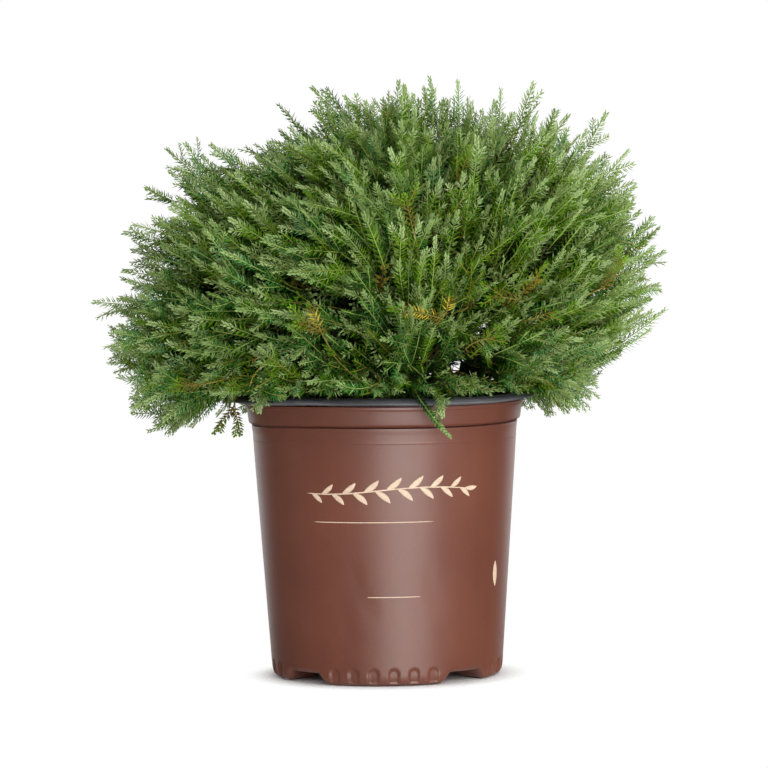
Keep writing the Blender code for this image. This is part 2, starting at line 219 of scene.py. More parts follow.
def denser(line, longest):
    # the same line with extra points wherever a stretch is longer than longest
    lengths = np.linalg.norm(np.diff(line, axis=0), axis=1)
    along = np.concatenate(([0.0], np.cumsum(lengths)))
    counts = np.maximum(1, np.ceil(lengths / longest)).astype(int)
    owner, local = dealtOut(counts)
    marks = np.append(along[owner] + lengths[owner] * local / counts[owner], along[-1])
    return np.stack((np.interp(marks, along, line[:, 0]), np.interp(marks, along, line[:, 1])), -1)


def ease(value):
    # 0 below 0, 1 above 1, 3t^2 - 2t^3 between
    t = np.clip(value, 0, 1)
    return t * t * (3 - 2 * t)


# Pot: a thin blown-plastic nursery pot on four feet
pot = {
    "columns": 576,                     # sixteen to a flute
    # longest steps between rows on the wall, the foot and the inside, which keeps every second row
    "wallStep": 0.0075, "footStep": 0.0011, "innerStep": 0.02, "innerEvery": 2,
    "floorRadius": 0.058, "floorEvery": 8,    # the floor inside this keeps every eighth row
    "aboveFlutes": 0.003,               # the close rows of the foot reach this far over the flutes
    "standRadius": 0.080,               # the pot stands outside this
    "wallRadius": 0.0945,               # flutes, dents and rounds lie outside this
    "collarBelow": 0.0012,              # the collar's rounded corner starts this far under it
    "slant": 0.0100,                    # how much higher wall and rim stand at the right, a metre out
    "slantWhole": 0.22,                 # slant and bow grow from the ground to this height
    "bowHeight": 0.0021, "bowMiddle": -120.0, "bowHalf": 41.0,    # the rim bows up at the left of the front
    "corners": ((0.012, 0.0095), (0.060, 0.0095), (0.066, 0.0), (0.0905, 0.0), (0.0943, 0.0019),
                (0.0959, 0.0066), (0.1101, 0.2105), (0.1128, 0.2120), (0.1145, 0.2240), (0.1152, 0.2247),
                (0.1152, 0.2272), (0.1132, 0.2272), (0.1131, 0.2246), (0.1108, 0.2120), (0.1081, 0.2105),
                (0.0942, 0.0130), (0.0900, 0.0115), (0.012, 0.0115)),
    "cuts": (0, 0.0012, 0.0012, 0.0014, 0.0020, 0.0024, 0.0010, 0.0009, 0.0005, 0.0004,
             0.0005, 0.0005, 0.0006, 0.0010, 0.0010, 0.0020, 0.0020, 0),
    "footMiddle": -91.8,                # compass angle of the front foot
    "notchHalf": (9.4, 10.6, 12.9, 15.0),
    "notchRise": (0.0088, 0.0074, 0.0021, 0.0), "notchBlur": 0.0004,
    "notchFade": 0.020,                 # the wall is back to its own height here
    "baseRadius": 0.0959,
    "recess": 0.0095,
    "flutes": 6, "flutePitch": 10.0, "fluteWidth": 0.0100, "fluteTop": 0.0150, "fluteDepth": 0.0017,
    "fluteEdge": 2.4, "fluteFoot": 0.0035,    # how steep the sides are, and the height where it is whole
    # fine rounds that run about the wall, a seam and the ledge's bead: height, how far out, half height
    # below and above; their rows reach some half heights to both sides
    "rounds": ((0.1975, 0.00018, 0.0007, 0.0007), (0.2087, 0.00045, 0.0035, 0.0007)), "roundsEnd": 0.2093,
    "roundReach": 2.2, "roundRows": 11, "roundClear": 0.0004,
    "sway": 0.00018, "swayTop": 0.205, "swayFade": 0.02,    # a slow wave all over the wall
    "dentRadius": 0.105,
    # shallow dents: compass angle, height, half width and half height in metres, depth
    "dents": ((-106.0, 0.088, 0.010, 0.008, 0.0006), (-101.0, 0.064, 0.013, 0.010, 0.0005),
              (-111.0, 0.046, 0.010, 0.014, 0.0005), (-118.0, 0.150, 0.018, 0.020, 0.0004),
              (-70.0, 0.070, 0.016, 0.022, 0.0004), (-60.0, 0.165, 0.020, 0.018, 0.0004),
              (60.0, 0.110, 0.020, 0.030, 0.0006), (150.0, 0.080, 0.018, 0.026, 0.0005)),
}
wallEnds = np.array(pot["corners"][5:7])    # radius and height at the wall's foot and top


def notchLift(angle, radius):
    # height of the notch over the ground by the sideways distance from the nearest notch's middle,
    # as the mean of three places
    away = np.radians((angle - pot["footMiddle"]) % 90 - 45)
    halves = pot["baseRadius"] * np.sin(np.radians(pot["notchHalf"]))
    return sum(np.interp(np.abs(radius * np.sin(away)) + shift, halves, pot["notchRise"])
               for shift in (-pot["notchBlur"], 0.0, pot["notchBlur"])) / 3


def wallShift(angle, height):
    # how far the wall stands out of its plain cone: minus flutes and dents, plus the rounds and the sway
    foot = (angle - pot["footMiddle"] + 45) % 90 - 45
    outmost = pot["flutes"] / 2 - 0.5
    nearest = np.clip(np.round(foot / pot["flutePitch"] - 0.5) + 0.5, -outmost, outmost)
    side = np.radians(foot - nearest * pot["flutePitch"]) * pot["baseRadius"]
    half = pot["fluteWidth"] / 2
    reachUp = np.maximum(0, height - (pot["fluteTop"] - half))
    inside = ease(pot["fluteEdge"] * (1 - np.hypot(side, reachUp) / half))
    out = -pot["fluteDepth"] * inside * ease(height / pot["fluteFoot"])
    for place, level, wide, tall, depth in pot["dents"]:
        turn = np.radians((angle - place + 180) % 360 - 180) * pot["dentRadius"] / wide
        rise = (height - level) / tall
        out = out - depth * np.exp(-turn ** 2 - rise ** 2) * (1 + 0.5 * np.sin(3 * turn + 2 * rise))
    for level, proud, below, above in pot["rounds"]:
        out = out + proud * np.exp(-((height - level) / np.where(height < level, below, above)) ** 2)
    sway = pot["sway"] * np.sin(np.radians(2 * angle) + 9 * height)
    return out + sway * ease((pot["swayTop"] - height) / pot["swayFade"])


def rimRise(radius, turn):
    # slant times sideways place, plus a bow exp(-(angle off its middle / half)^2)
    off = (np.degrees(turn) - pot["bowMiddle"] + 180) % 360 - 180
    return pot["slant"] * radius * np.cos(turn) + pot["bowHeight"] * np.exp(-(off / pot["bowHalf"]) ** 2)


def potProfile():
    # rows of radius and height up the outside and down the inside, and how many are outside
    line = roundedLine(pot["corners"], pot["cuts"])
    outside = int(np.argmax(line[:, 1])) + 1
    fine = denser(line[:outside], pot["wallStep"])
    low = fine[:, 1] < pot["fluteTop"] + pot["aboveFlutes"]
    foot, wall = denser(fine[low], pot["footStep"]), fine[~low]
    slope = np.polyfit(wallEnds[:, 1], wallEnds[:, 0], 1)
    for level, _, below, above in pot["rounds"]:
        top = min(level + pot["roundReach"] * above, pot["roundsEnd"])
        added = np.linspace(level - pot["roundReach"] * below, top, pot["roundRows"])
        wall = wall[(wall[:, 1] < added[0] - pot["roundClear"]) | (wall[:, 1] > added[-1])]
        wall = np.concatenate((wall, np.stack((np.polyval(slope, added), added), -1)))
    collar = wall[:, 1] > wallEnds[1, 1] - pot["collarBelow"]
    wall = np.concatenate((wall[~collar][np.argsort(wall[~collar][:, 1])], wall[collar]))
    flatFloor = foot[:, 0] < pot["floorRadius"]
    foot = np.concatenate((foot[flatFloor][::pot["floorEvery"]], foot[~flatFloor]))
    inner = denser(line[outside:], pot["innerStep"])[::pot["innerEvery"]]
    return np.concatenate((foot, wall, inner)), len(foot) + len(wall)


def buildPot():
    # the profile carried round; the foot's rows are lifted over the notches, the wall's are shifted
    profile, outerRows = potProfile()
    rows, columns = len(profile), pot["columns"]
    isOuter = np.arange(rows) < outerRows
    standing = np.where(isOuter & (profile[:, 0] > pot["standRadius"]), profile[:, 1], 1.0)
    underside = np.arange(rows) <= int(np.argmin(standing))
    angle = np.linspace(-180, 180, columns, endpoint=False)[None, :]
    radius, height = profile[:, :1] + 0 * angle, profile[:, 1:] + 0 * angle
    fade = np.where(underside, pot["recess"], pot["notchFade"])[:, None]
    lift = notchLift(angle, radius) * np.clip(1 - height / fade, 0, 1)
    isWall = (isOuter & (profile[:, 0] > pot["wallRadius"]))[:, None]
    radius = radius + np.where(isWall, wallShift(angle, height), 0.0)
    height = height + np.where(isOuter[:, None] & (profile[:, 1:] < fade), lift, 0.0)
    turn = np.radians(angle)
    height = height + rimRise(radius, turn) * ease(height / pot["slantWhole"])
    grid = roundAbout(radius, turn, height).reshape(-1, 3)
    poles = np.array(((0, 0, profile[0, 1]), (0, 0, profile[-1, 1])))
    dark = np.concatenate((np.repeat(~isOuter[1:], columns), np.zeros(columns), np.ones(columns)))
    faceSets = (gridQuads(rows, columns), poleFans(rows, columns))
    piece = putMesh("potBody", np.concatenate((grid, poles)), faceSets, (potPlastic(), innerPlastic()),
                    "pot", dark)
    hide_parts("pot")


def potPlastic():
    # cloudy brown with faint streaks down the wall and a few pale specks
    finish = Finish("brownPlastic", {"Specular IOR Level": 0.70})
    where = finish.place()
    cloudy = finish.noise(where, 14.0, 4.0, 0.55)
    streaks = finish.noise(finish.place((60.0, 60.0, 3.0)), 1.0, 3.0)
    fine = finish.noise(where, 260.0, 2.0)
    specks = finish.noise(where, 900.0, 1.0).clamped(0.70, 0.78)
    shade = (cloudy * 0.7 + streaks * 0.3).clamped(0.30, 0.72)
    colour = finish.mix(shade, paint(88, 49, 37), paint(101, 58, 43))
    colour = finish.mix(specks * 0.12, colour, paint(176, 150, 138))
    roughness = 0.36 + cloudy * 0.08 + fine * 0.04
    normal = finish.bump(fine * 0.6 + cloudy * 3.0, 0.00012, 0.6)
    return finish.feed(colour=colour, roughness=roughness, normal=normal)


def innerPlastic():
    # scuffed black
    finish = Finish("blackLiner", {"Specular IOR Level": 0.5})
    where = finish.place()
    scuff = finish.noise(where, 60.0, 4.0)
    colour = finish.mix(scuff.clamped(0.35, 0.75), paint(22, 24, 26), paint(44, 44, 44))
    return finish.feed(colour=colour, roughness=0.35 + scuff * 0.25,
                       normal=finish.bump(finish.noise(where, 300.0, 2.0), 0.0001, 0.5))


buildPot()
print("pot built")

# Rolled black rim
lip = {
    "columns": 360,
    "corners": ((0.1133, 0.2276), (0.1175, 0.2279), (0.1243, 0.2294), (0.1246, 0.2304),
                (0.1228, 0.2325), (0.1182, 0.2342), (0.1136, 0.2342), (0.1132, 0.2330)),
    "cut": 0.0008,
    "wavers": ((3, 1.0, 0.00025), (11, 0.0, 0.00012)),    # waves once round, phase, height
}


def buildLip():
    # a closed profile of rounded corners carried round, with a slow waver in its height
    corners = np.array(lip["corners"])
    looped = np.concatenate((corners[-1:], corners, corners[:1]))
    profile = roundedLine(looped, np.full(len(looped), lip["cut"]), 3)[1:-1]
    turn = turns(lip["columns"])[None, :]
    radius, height = profile[:, :1] + 0 * turn, profile[:, 1:]
    for waves, phase, size in lip["wavers"]:
        height = height + size * np.sin(waves * turn + phase)
    grid = roundAbout(radius, turn, height + rimRise(radius, turn)).reshape(-1, 3)
    quads = gridQuads(len(profile), lip["columns"], True)
    piece = putMesh("potRim", grid, (quads,), (rimPlastic(),), "pot_lip")
    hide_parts("pot_lip")


def rimPlastic():
    # black plastic painted dark grey as a painted reflection of the bright surroundings; the paler bands
    # drawn out along the rim are partly wear and partly painted sheen
    finish = Finish("blackRim", {"Specular IOR Level": 0.55})
    where = finish.place()
    wearAndSheen = finish.noise(finish.place((18.0, 18.0, 90.0)), 1.0, 5.0, 0.6)
    fine = finish.noise(where, 420.0, 2.0)
    # painted reflection: the grey and its paler bands stand in for the bright surroundings mirrored in the
    # black rim
    colour = finish.mix(wearAndSheen.clamped(0.45, 0.80), paint(74, 76, 80), paint(122, 122, 124))
    return finish.feed(colour=colour, roughness=0.32 + wearAndSheen * 0.22,
                       normal=finish.bump(wearAndSheen + fine * 0.3, 0.00022, 0.7))


buildLip()
print("rim built")

# Printed ornament: a plain leafy sprig with a rule under it, and two small marks
sprig = {
    "proud": 0.00010, "thick": 0.00008,
    "middle": (0.0015, 0.1600), "halfSpan": 0.070, "wave": 0.0026,
    "leaves": 15, "leafLength": 0.0165, "leafWidth": 0.0056, "leafAngle": 38.0,
    "stemHalf": 0.00065, "ruleHeight": 0.1345, "ruleEnds": (-0.062, 0.040), "ruleHalf": 0.00045,
    "markHeight": 0.0733, "markEnds": (-0.016, 0.028),
    # sideways place, foot and tip of the small leaf on the right, its width, and the wall's radius there
    "sideLeaf": (0.0906, 0.0760, 0.0980), "sideLeafWidth": 0.0075, "sideRadius": 0.1045, "sideWrap": 0.104,
}


def ontoPot(flat, outward):
    # sideways distance and height wrapped onto the wall, standing outward from it
    across, height = flat[..., 0], flat[..., 1]
    cone = np.interp(height, wallEnds[:, 1], wallEnds[:, 0])
    turn = across / cone
    radius = cone + wallShift(np.degrees(turn) - 90, height) + outward
    return np.stack((radius * np.sin(turn), -radius * np.cos(turn), height), -1)


def stroke(path, halfWidths):
    # a flattened closed tube along a path on the wall: 6 points round, its width from halfWidths
    path, halfWidths = np.asarray(path, float), np.asarray(halfWidths, float)
    along = np.gradient(path, axis=0)
    along /= np.linalg.norm(along, axis=1)[:, None]
    across = np.stack((along[:, 1], -along[:, 0]), -1)
    turn = turns(6)
    flat = path[:, None] + across[:, None] * (halfWidths[:, None] * np.cos(turn))[..., None]
    outward = sprig["proud"] + sprig["thick"] * np.sin(turn)[None, :] + 0 * halfWidths[:, None]
    ends = ontoPot(path[[0, -1]], np.full(2, sprig["proud"]))
    points = np.concatenate((ontoPot(flat, outward).reshape(-1, 3), ends))
    return points, gridQuads(len(path), 6), poleFans(len(path), 6)


def leafShape(foot, direction, length, width, bend=0.25):
    # width times sin(pi u)^0.8 along a middle line that bends aside by bend times u^2
    u = np.linspace(0.02, 0.98, 11)
    ahead = np.array((np.cos(direction), np.sin(direction)))
    aside = np.array((-ahead[1], ahead[0]))
    path = np.asarray(foot) + length * (u[:, None] * ahead + bend * (u[:, None] ** 2 - u[:, None]) * aside)
    return stroke(path, width / 2 * np.sin(np.pi * u) ** 0.8)


def buildSprig():
    # a waving stem with leaves to both sides and one at its end, two straight lines, and a small leaf
    middle, span = np.array(sprig["middle"]), sprig["halfSpan"]
    u = np.linspace(-1, 1, 60)

    def stemAt(share):
        return middle + np.stack((span * share, sprig["wave"] * np.sin(2.6 * share + 0.4)), -1)

    parts = [stroke(stemAt(u), sprig["stemHalf"] * np.sqrt(1 - 0.97 * np.abs(u) ** 6))]
    for index, share in enumerate(np.linspace(-0.93, 0.90, sprig["leaves"])):
        size, hand = 0.62 + 0.38 * np.cos(1.3 * share), 1 if index % 2 else -1
        angle = np.radians(sprig["leafAngle"]) * hand
        parts.append(leafShape(stemAt(share), angle, sprig["leafLength"] * size, sprig["leafWidth"] * size,
                               0.25 * hand))
    parts.append(leafShape(stemAt(0.97), 0.05, sprig["leafLength"] * 0.8, sprig["leafWidth"] * 0.8))
    for ends, level in ((sprig["ruleEnds"], sprig["ruleHeight"]), (sprig["markEnds"], sprig["markHeight"])):
        path = np.stack((np.linspace(*ends, 40), np.full(40, level)), -1)
        parts.append(stroke(path, sprig["ruleHalf"] * np.sqrt(1 - 0.97 * np.linspace(-1, 1, 40) ** 8)))
    across, foot, tip = sprig["sideLeaf"]
    wrapped = sprig["sideWrap"] * np.arcsin(across / sprig["sideRadius"])
    parts.append(leafShape((wrapped, foot), np.pi / 2, tip - foot, sprig["sideLeafWidth"], 0.0))
    points, quads, fans = zip(*parts)
    sizes = np.array([len(part) for part in points])
    starts = np.cumsum(sizes) - sizes
    faceSets = [np.concatenate([part + start for part, start in zip(faces, starts)])
                for faces in (quads, fans)]
    putMesh("printedSprig", np.concatenate(points), faceSets, (creamInk(),), "pot")


def creamInk():
    # a slightly worn print
    finish = Finish("creamInk", {"Specular IOR Level": 0.4})
    where = finish.place()
    worn = finish.noise(where, 320.0, 4.0, 0.6)
    colour = finish.mix(worn.clamped(0.35, 0.75), paint(196, 172, 150), paint(176, 150, 128))
    return finish.feed(colour=colour, roughness=0.45 + worn * 0.2, normal=finish.bump(worn, 0.00004, 0.5))


buildSprig()
print("ornament printed")

# Potting mix: fine bark and peat with a few pale grains
mixture = {
    "rings": 70, "columns": 180, "edge": 0.1074, "innermost": 0.0015, "height": 0.2068, "under": 0.190,
    "relief": 0.0022, "reliefLimits": (-0.004, 0.0024), "seed": 11,
    "crumbs": 1500, "crumbSize": (0.0012, 0.0040), "crumbShape": (1.0, 0.5, 0.28),
    "crumbRise": (-0.0006, 0.0018), "stemClear": 0.014, "edgeClear": 0.003,
    "tones": ((52, 36, 24), (78, 54, 34), (104, 72, 46), (36, 26, 20), (196, 190, 178)),
    "toneShares": (0.3, 0.28, 0.22, 0.15, 0.05),
}


def lumps(x, y, rng, waves=26, low=60, high=700):
    # a sum of sines that run in seeded directions, longer waves taller
    total = np.zeros_like(x)
    for _ in range(waves):
        heading, rate = rng.uniform(0, 2 * np.pi), np.exp(rng.uniform(np.log(low), np.log(high)))
        along = x * np.cos(heading) + y * np.sin(heading)
        total += np.sin(rate * along + rng.uniform(0, 6.3)) * (low / rate) ** 0.6
    return total / 3


def buildMix(rng):
    # a disc: height is the level plus lumps, with a straight edge and a flat underside
    rings, columns = mixture["rings"], mixture["columns"]
    turn = turns(columns)[None, :]
    out = np.linspace(mixture["edge"], mixture["innermost"], rings)[:, None]
    relief = mixture["relief"] * lumps(out * np.cos(turn), out * np.sin(turn), rng)
    height = mixture["height"] + np.clip(relief, *mixture["reliefLimits"])
    grid = np.concatenate((roundAbout(out[:1], turn, mixture["under"]), roundAbout(out, turn, height)))
    poles = np.array(((0, 0, mixture["under"]), (0, 0, float(height[-1].mean()))))
    piece = putMesh("pottingMix", np.concatenate((grid.reshape(-1, 3), poles)),
                    (gridQuads(rings + 1, columns), poleFans(rings + 1, columns)), (peat(),), "soil")
    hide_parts("soil")


def turned(points, first, second, angle):
    # two axes turned by an angle: a cos - b sin, and a sin + b cos
    a, b = points[..., first].copy(), points[..., second].copy()
    points[..., first] = a * np.cos(angle) - b * np.sin(angle)
    points[..., second] = a * np.sin(angle) + b * np.cos(angle)


def scatterCrumbs(rng):
    # flat crumbs with six corners, tipped and turned at random, dealt out among five tones
    count, nearest = mixture["crumbs"], mixture["stemClear"]
    spread = nearest + (mixture["edge"] - mixture["edgeClear"] - nearest) * np.sqrt(rng.random(count))
    centre = roundAbout(spread, rng.uniform(0, 2 * np.pi, count), mixture["height"])
    centre[:, 2] += between(rng, mixture["crumbRise"], count)
    size = between(rng, mixture["crumbSize"], (count, 3)) * mixture["crumbShape"]
    corners = np.array(((1, 0, 0), (0, 1, 0), (-1, 0, 0), (0, -1, 0), (0, 0, 1), (0, 0, -1)), float)
    shape = corners[None] * size[:, None] * rng.uniform(0.7, 1.2, (count, 6, 1))
    spin, tip = rng.uniform(0, 6.3, count)[:, None], rng.uniform(-0.6, 0.6, count)[:, None]
    turned(shape, 0, 2, tip)
    turned(shape, 0, 1, spin)
    points = (centre[:, None] + shape).reshape(-1, 3)
    sides = np.array(((0, 1, 4), (1, 2, 4), (2, 3, 4), (3, 0, 4), (1, 0, 5), (2, 1, 5), (3, 2, 5), (0, 3, 5)))
    picks = np.repeat(rng.choice(5, count, p=mixture["toneShares"]), 8)
    finishes = [plain(f"crumb{index}", tone, 0.9) for index, tone in enumerate(mixture["tones"])]
    putMesh("barkCrumbs", points, (copied(sides, 6, count),), finishes, "soil", picks, False)


def plain(name, tone, roughness, sheen=0.35):
    # one even colour, for small things that are dealt out among several such finishes
    constants = {"Base Color": paint(*tone), "Roughness": roughness, "Specular IOR Level": sheen}
    return Finish(name, constants).material


def peat():
    # dark and damp, paler on the coarse lumps
    finish = Finish("peat", {"Specular IOR Level": 0.2})
    where = finish.place()
    coarse, fine = finish.noise(where, 90.0, 5.0, 0.6), finish.noise(where, 420.0, 3.0)
    colour = finish.mix(coarse.clamped(0.35, 0.68), paint(34, 25, 18), paint(84, 60, 40))
    return finish.feed(colour=colour, roughness=0.85 + fine * 0.12,
                       normal=finish.bump(coarse + fine * 0.5, 0.0012, 0.9))


mixDraws = np.random.default_rng(mixture["seed"])
buildMix(mixDraws)
scatterCrumbs(mixDraws)
print("potting mix filled")

# Crown: the source's own growth rule, with the same sizes, carried to finer twigs
crown = {
    "fork": np.array((0.003, -0.003, 0.2365)), "forkRadius": 0.0110, "seed": 7,
    # tiers of masses: name, how many, elevation, compass angle of the first
    "tiers": (("skirt", 9, 9.0, 30.0), ("middle", 7, 36.0, 12.0),
              ("upper", 4, 63.0, 40.0), ("top", 1, 90.0, 0.0)),
    # from the front: angle from +X, distance from the fork
    "outline": ((-14, 0.135), (-6, 0.160), (5, 0.170), (10, 0.203), (20, 0.237), (30, 0.264), (50, 0.272),
                (60, 0.268), (75, 0.256), (90, 0.247), (104, 0.243), (115, 0.231), (130, 0.256),
                (144, 0.236), (150, 0.246), (160, 0.236), (165, 0.250), (176, 0.234), (184, 0.212),
                (190, 0.186), (197, 0.140)),
    # from the side: elevation, distance from the fork
    "sideOutline": ((-14, 0.150), (0, 0.210), (15, 0.236), (40, 0.248), (90, 0.247)),
    # the photographed crown's own bumps, as shares of the outline
    "bumps": ((-14, 1.00), (4, 1.00), (12, 0.99), (20, 1.0), (28, 0.99), (36, 1.01), (44, 0.985), (52, 1.02),
              (60, 0.99), (68, 0.99), (76, 1.005), (84, 1.01), (92, 1.01), (104, 1.03), (116, 0.990),
              (124, 0.985), (132, 1.055), (140, 1.03), (148, 1.035), (156, 1.02), (164, 1.00), (172, 0.98),
              (180, 1.04), (188, 1.03), (197, 1.10)),
    "lipRadius": 0.1275, "lipHeight": 0.2400, "lipLeft": 0.0030, "hemFar": (0.1625, 0.0225),
    # compass angle, lowest height of a shoot: none but the placed ones hangs over the rim at the front
    "fringe": ((-180, 0.199), (-152, 0.206), (-140, 0.234), (-122, 0.2415), (-90, 0.2440), (-55, 0.2415),
               (-33, 0.236), (-20, 0.224), (0, 0.213), (90, 0.212), (180, 0.199)),
    "soilRadius": 0.104, "soilClear": 0.2220,
    "boughEnd": 0.088, "boughSag": 0.0030, "boughRadius": 0.0024, "boughTip": 0.0017,
    "massShift": 2.5, "lowest": -17,
    # how far shoots sweep to the left, by their sideways place, and to the front or back, by their height
    "leanFrom": 0.27, "leanRate": 2.4, "leanMost": 0.9, "leanLow": 0.35,
    "depthLow": 0.62, "depthFall": 0.40, "depthFrom": -0.05, "depthOver": 0.45,
}
fork = crown["fork"]


def unit(vectors):
    # vectors over their own length
    return vectors / np.linalg.norm(vectors, axis=-1, keepdims=True)


def compass(azimuth, elevation):
    # a direction from its angle round and its elevation, in degrees
    azimuth, elevation = np.radians(azimuth), np.radians(elevation)
    level = np.cos(elevation)
    return np.array((level * np.cos(azimuth), level * np.sin(azimuth), np.sin(elevation)))


def massDirections():
    # a name and a heading for each mass, evenly round each tier and shifted a little
    rng = np.random.default_rng(crown["seed"])
    names, headings = [], []
    for tier, count, elevation, start in crown["tiers"]:
        for index in range(count):
            shift = rng.uniform(-crown["massShift"], crown["massShift"], 2) if count > 1 else np.zeros(2)
            names.append(f"{tier}_{index + 1:02d}")
            headings.append(compass(start + index * 360 / count + shift[0], elevation + shift[1]))
    return names, np.array(headings)


def nodesOf(masses, part):
    # the solids' names: skirt_01 becomes skirt_bough_01 or skirt_foliage_01
    return [mass[:-3] + "_" + part + mass[-3:] for mass in masses]


def table(name):
    # a table of the crown as one row of places and one of values
    return np.array(crown[name], float).T


def frontAngle(headings):
    # the heading's angle as the viewer sees it, from -90 to 270
    angle = np.degrees(np.arctan2(headings[..., 2], headings[..., 0]))
    return np.where(angle < -90, angle + 360, angle)


def reach(headings):
    # front outline and side outline, shared by how far the heading leans to or from the viewer
    front = np.interp(frontAngle(headings), *table("outline"))
    side = np.interp(np.degrees(np.arcsin(headings[..., 2])), *table("sideOutline"))
    share = headings[..., 1] ** 2
    return front * (1 - share) + side * share


def bumpy(headings):
    # how much of its reach the crown uses on this side, seen from the front
    bumps = np.interp(frontAngle(headings), *table("bumps"))
    return 1 + (bumps - 1) * (1 - headings[..., 1] ** 2)


def floorOf(points):
    # lowest height a shoot may have at this place
    around = np.degrees(np.arctan2(points[..., 1], points[..., 0]))
    out = np.hypot(points[..., 0], points[..., 1])
    # the hem slopes down from the lip, over a longer way at the left
    turn = np.radians(around)
    wholly = crown["hemFar"][0] - crown["hemFar"][1] * np.cos(turn)
    beside = np.where(points[..., 1] < 0, np.abs(points[..., 0]), out)
    down = ease((beside - crown["lipRadius"]) / (wholly - crown["lipRadius"]))
    hem = np.interp(around, *table("fringe"))
    overLip = crown["lipHeight"] + crown["lipLeft"] * np.clip(-np.cos(turn), 0, 1)
    skirt = np.maximum(hem, overLip + (hem - overLip) * down)
    return np.where(out < crown["soilRadius"], crown["soilClear"], skirt)


def leanOf(headings):
    # shoots sweep to the left over the left two thirds, and rise more than they reach to the front or back
    rise = headings[..., 2]
    left = np.clip(crown["leanFrom"] - crown["leanRate"] * headings[..., 0], 0, crown["leanMost"])
    left = left * np.minimum(1, crown["leanLow"] + np.maximum(rise, 0))
    depth = crown["depthLow"] - crown["depthFall"] * ease((rise - crown["depthFrom"]) / crown["depthOver"])
    return unit(np.stack((headings[..., 0] - left, depth * headings[..., 1], rise), -1))


def drift(headings, seed, rate, waves=9):
    # a smooth field over headings, about -1 to 1: a sum of sines along seeded directions
    rng = np.random.default_rng(seed)
    courses, phases = rng.normal(0, rate, (waves, 3)), rng.uniform(0, 2 * np.pi, waves)
    return np.sin(headings @ courses.T + phases).sum(1) * np.sqrt(2 / waves)


def spiral(count):
    # even directions over the sphere, a golden angle apart, those under the skirt left out
    index = np.arange(count)
    height = 1 - (2 * index + 1) / count
    aims = roundAbout(np.sqrt(1 - height ** 2), index * goldenAngle, height)
    return aims[height > np.sin(np.radians(crown["lowest"]))]


def alongCurve(curve, t):
    # (1-t)^2 a + 2(1-t)t b + t^2 c and its direction; curve is (n, 3 points, xyz), t is (n, k)
    a, b, c = curve[:, None, 0], curve[:, None, 1], curve[:, None, 2]
    t = t[..., None]
    return (1 - t) ** 2 * a + 2 * (1 - t) * t * b + t ** 2 * c, unit((1 - t) * (b - a) + t * (c - b))


def frames(tangents, guides):
    # side is tangent x guide, up is side x tangent, both of length 1
    side = unit(np.cross(tangents, guides))
    return side, np.cross(side, tangents)


def tubes(curves, guides, startRadius, endRadius, rings, sides, relief=None):
    # closed tubes round many curves at once: radius runs straight from start to end
    count = len(curves)
    t = np.tile(np.linspace(0, 1, rings), (count, 1))
    middle, ahead = alongCurve(curves, t)
    side, up = frames(ahead, guides[:, None])
    turn = turns(sides)
    radius = (startRadius[:, None] * (1 - t) + endRadius[:, None] * t)[:, :, None] * np.ones(sides)
    if relief is not None:
        radius = radius * relief(t[:, :, None], turn)
    spokes = up[:, :, None] * np.cos(turn)[:, None] + side[:, :, None] * np.sin(turn)[:, None]
    points = middle[:, :, None] + radius[..., None] * spokes
    fan = np.arange(1, sides - 1)
    caps = np.concatenate((np.stack((0 * fan, fan + 1, fan), -1),
                           np.stack((0 * fan, fan, fan + 1), -1) + (rings - 1) * sides))
    block = rings * sides
    return points.reshape(-1, 3), copied(gridQuads(rings, sides), block, count), copied(caps, block, count)


def barkRelief(t, turn):
    # fibrous strips that run along the limb and wander round it, crossed by faint rings
    strips = np.sin(5 * turn + 2.2 * np.sin(9 * t)) * 0.5 + np.sin(11 * turn - 3.0 * t + 2.0) * 0.3
    rings = np.sin(37 * t + 2 * np.sin(turn)) * 0.25
    return 1 + 0.075 * strips + 0.05 * rings


def bark(name, dark, light):
    # fine fibres along the limb, mixed with patches
    finish = Finish(name, {"Specular IOR Level": 0.25})
    where = finish.place()
    fibres = finish.noise(finish.place((900.0, 900.0, 120.0)), 1.0, 4.0, 0.6)
    patches = finish.noise(where, 160.0, 3.0)
    colour = finish.mix((fibres * 0.6 + patches * 0.4).clamped(0.36, 0.64), paint(*dark), paint(*light))
    return finish.feed(colour=colour, roughness=0.75 + patches * 0.2, normal=finish.bump(fibres, 0.0006, 0.9))


trunk = {
    "columns": 64, "rows": 60, "foot": 0.2095,    # heights count from the foot
    "heights": (-0.0020, 0.0003, 0.0035, 0.0100, 0.0195, 0.0245),
    "radii": (0.0156, 0.0146, 0.0112, 0.0085, 0.0083, 0.0104),
    "domeHeights": (0.0270, 0.0315, 0.0350, 0.0370, 0.0378),
    "domeRadii": (0.0109, 0.0100, 0.0074, 0.0043, 0.0018), "domeTip": 0.0002,
    "flare": 0.16, "flareFade": 6, "stripes": 1.3,
}


def buildTrunk():
    # radius by height from the flare to the dome over the fork, times bark strips that widen at the foot
    heights = np.concatenate((trunk["heights"], trunk["domeHeights"]))
    radii = np.concatenate((trunk["radii"], trunk["domeRadii"]))
    rows, columns = trunk["rows"], trunk["columns"]
    fine = np.linspace(heights[0], heights[-1], rows)
    radius = np.interp(fine, heights, radii)[:, None]
    turn = turns(columns)[None, :]
    share = ((fine - fine[0]) / (fine[-1] - fine[0]))[:, None]
    flare = trunk["flare"] * np.exp(-share * trunk["flareFade"]) * np.cos(4 * turn + 0.7)
    top = ease((1 - share) * 5)
    radius = radius * (1 + flare + (barkRelief(share * trunk["stripes"], turn) - 1) * top)
    level = trunk["foot"] + fine
    leaning = (share * (fork * (1, 1, 0)))[:, None]
    grid = (roundAbout(radius, turn, level[:, None]) + leaning).reshape(-1, 3)
    poles = np.array(((0, 0, level[0]), (*fork[:2], level[-1] + trunk["domeTip"])))
    piece = putMesh("trunkBark", np.concatenate((grid, poles)),
                    (gridQuads(rows, columns), poleFans(rows, columns)), (barkFinish,), "bark")
    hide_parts("trunk")


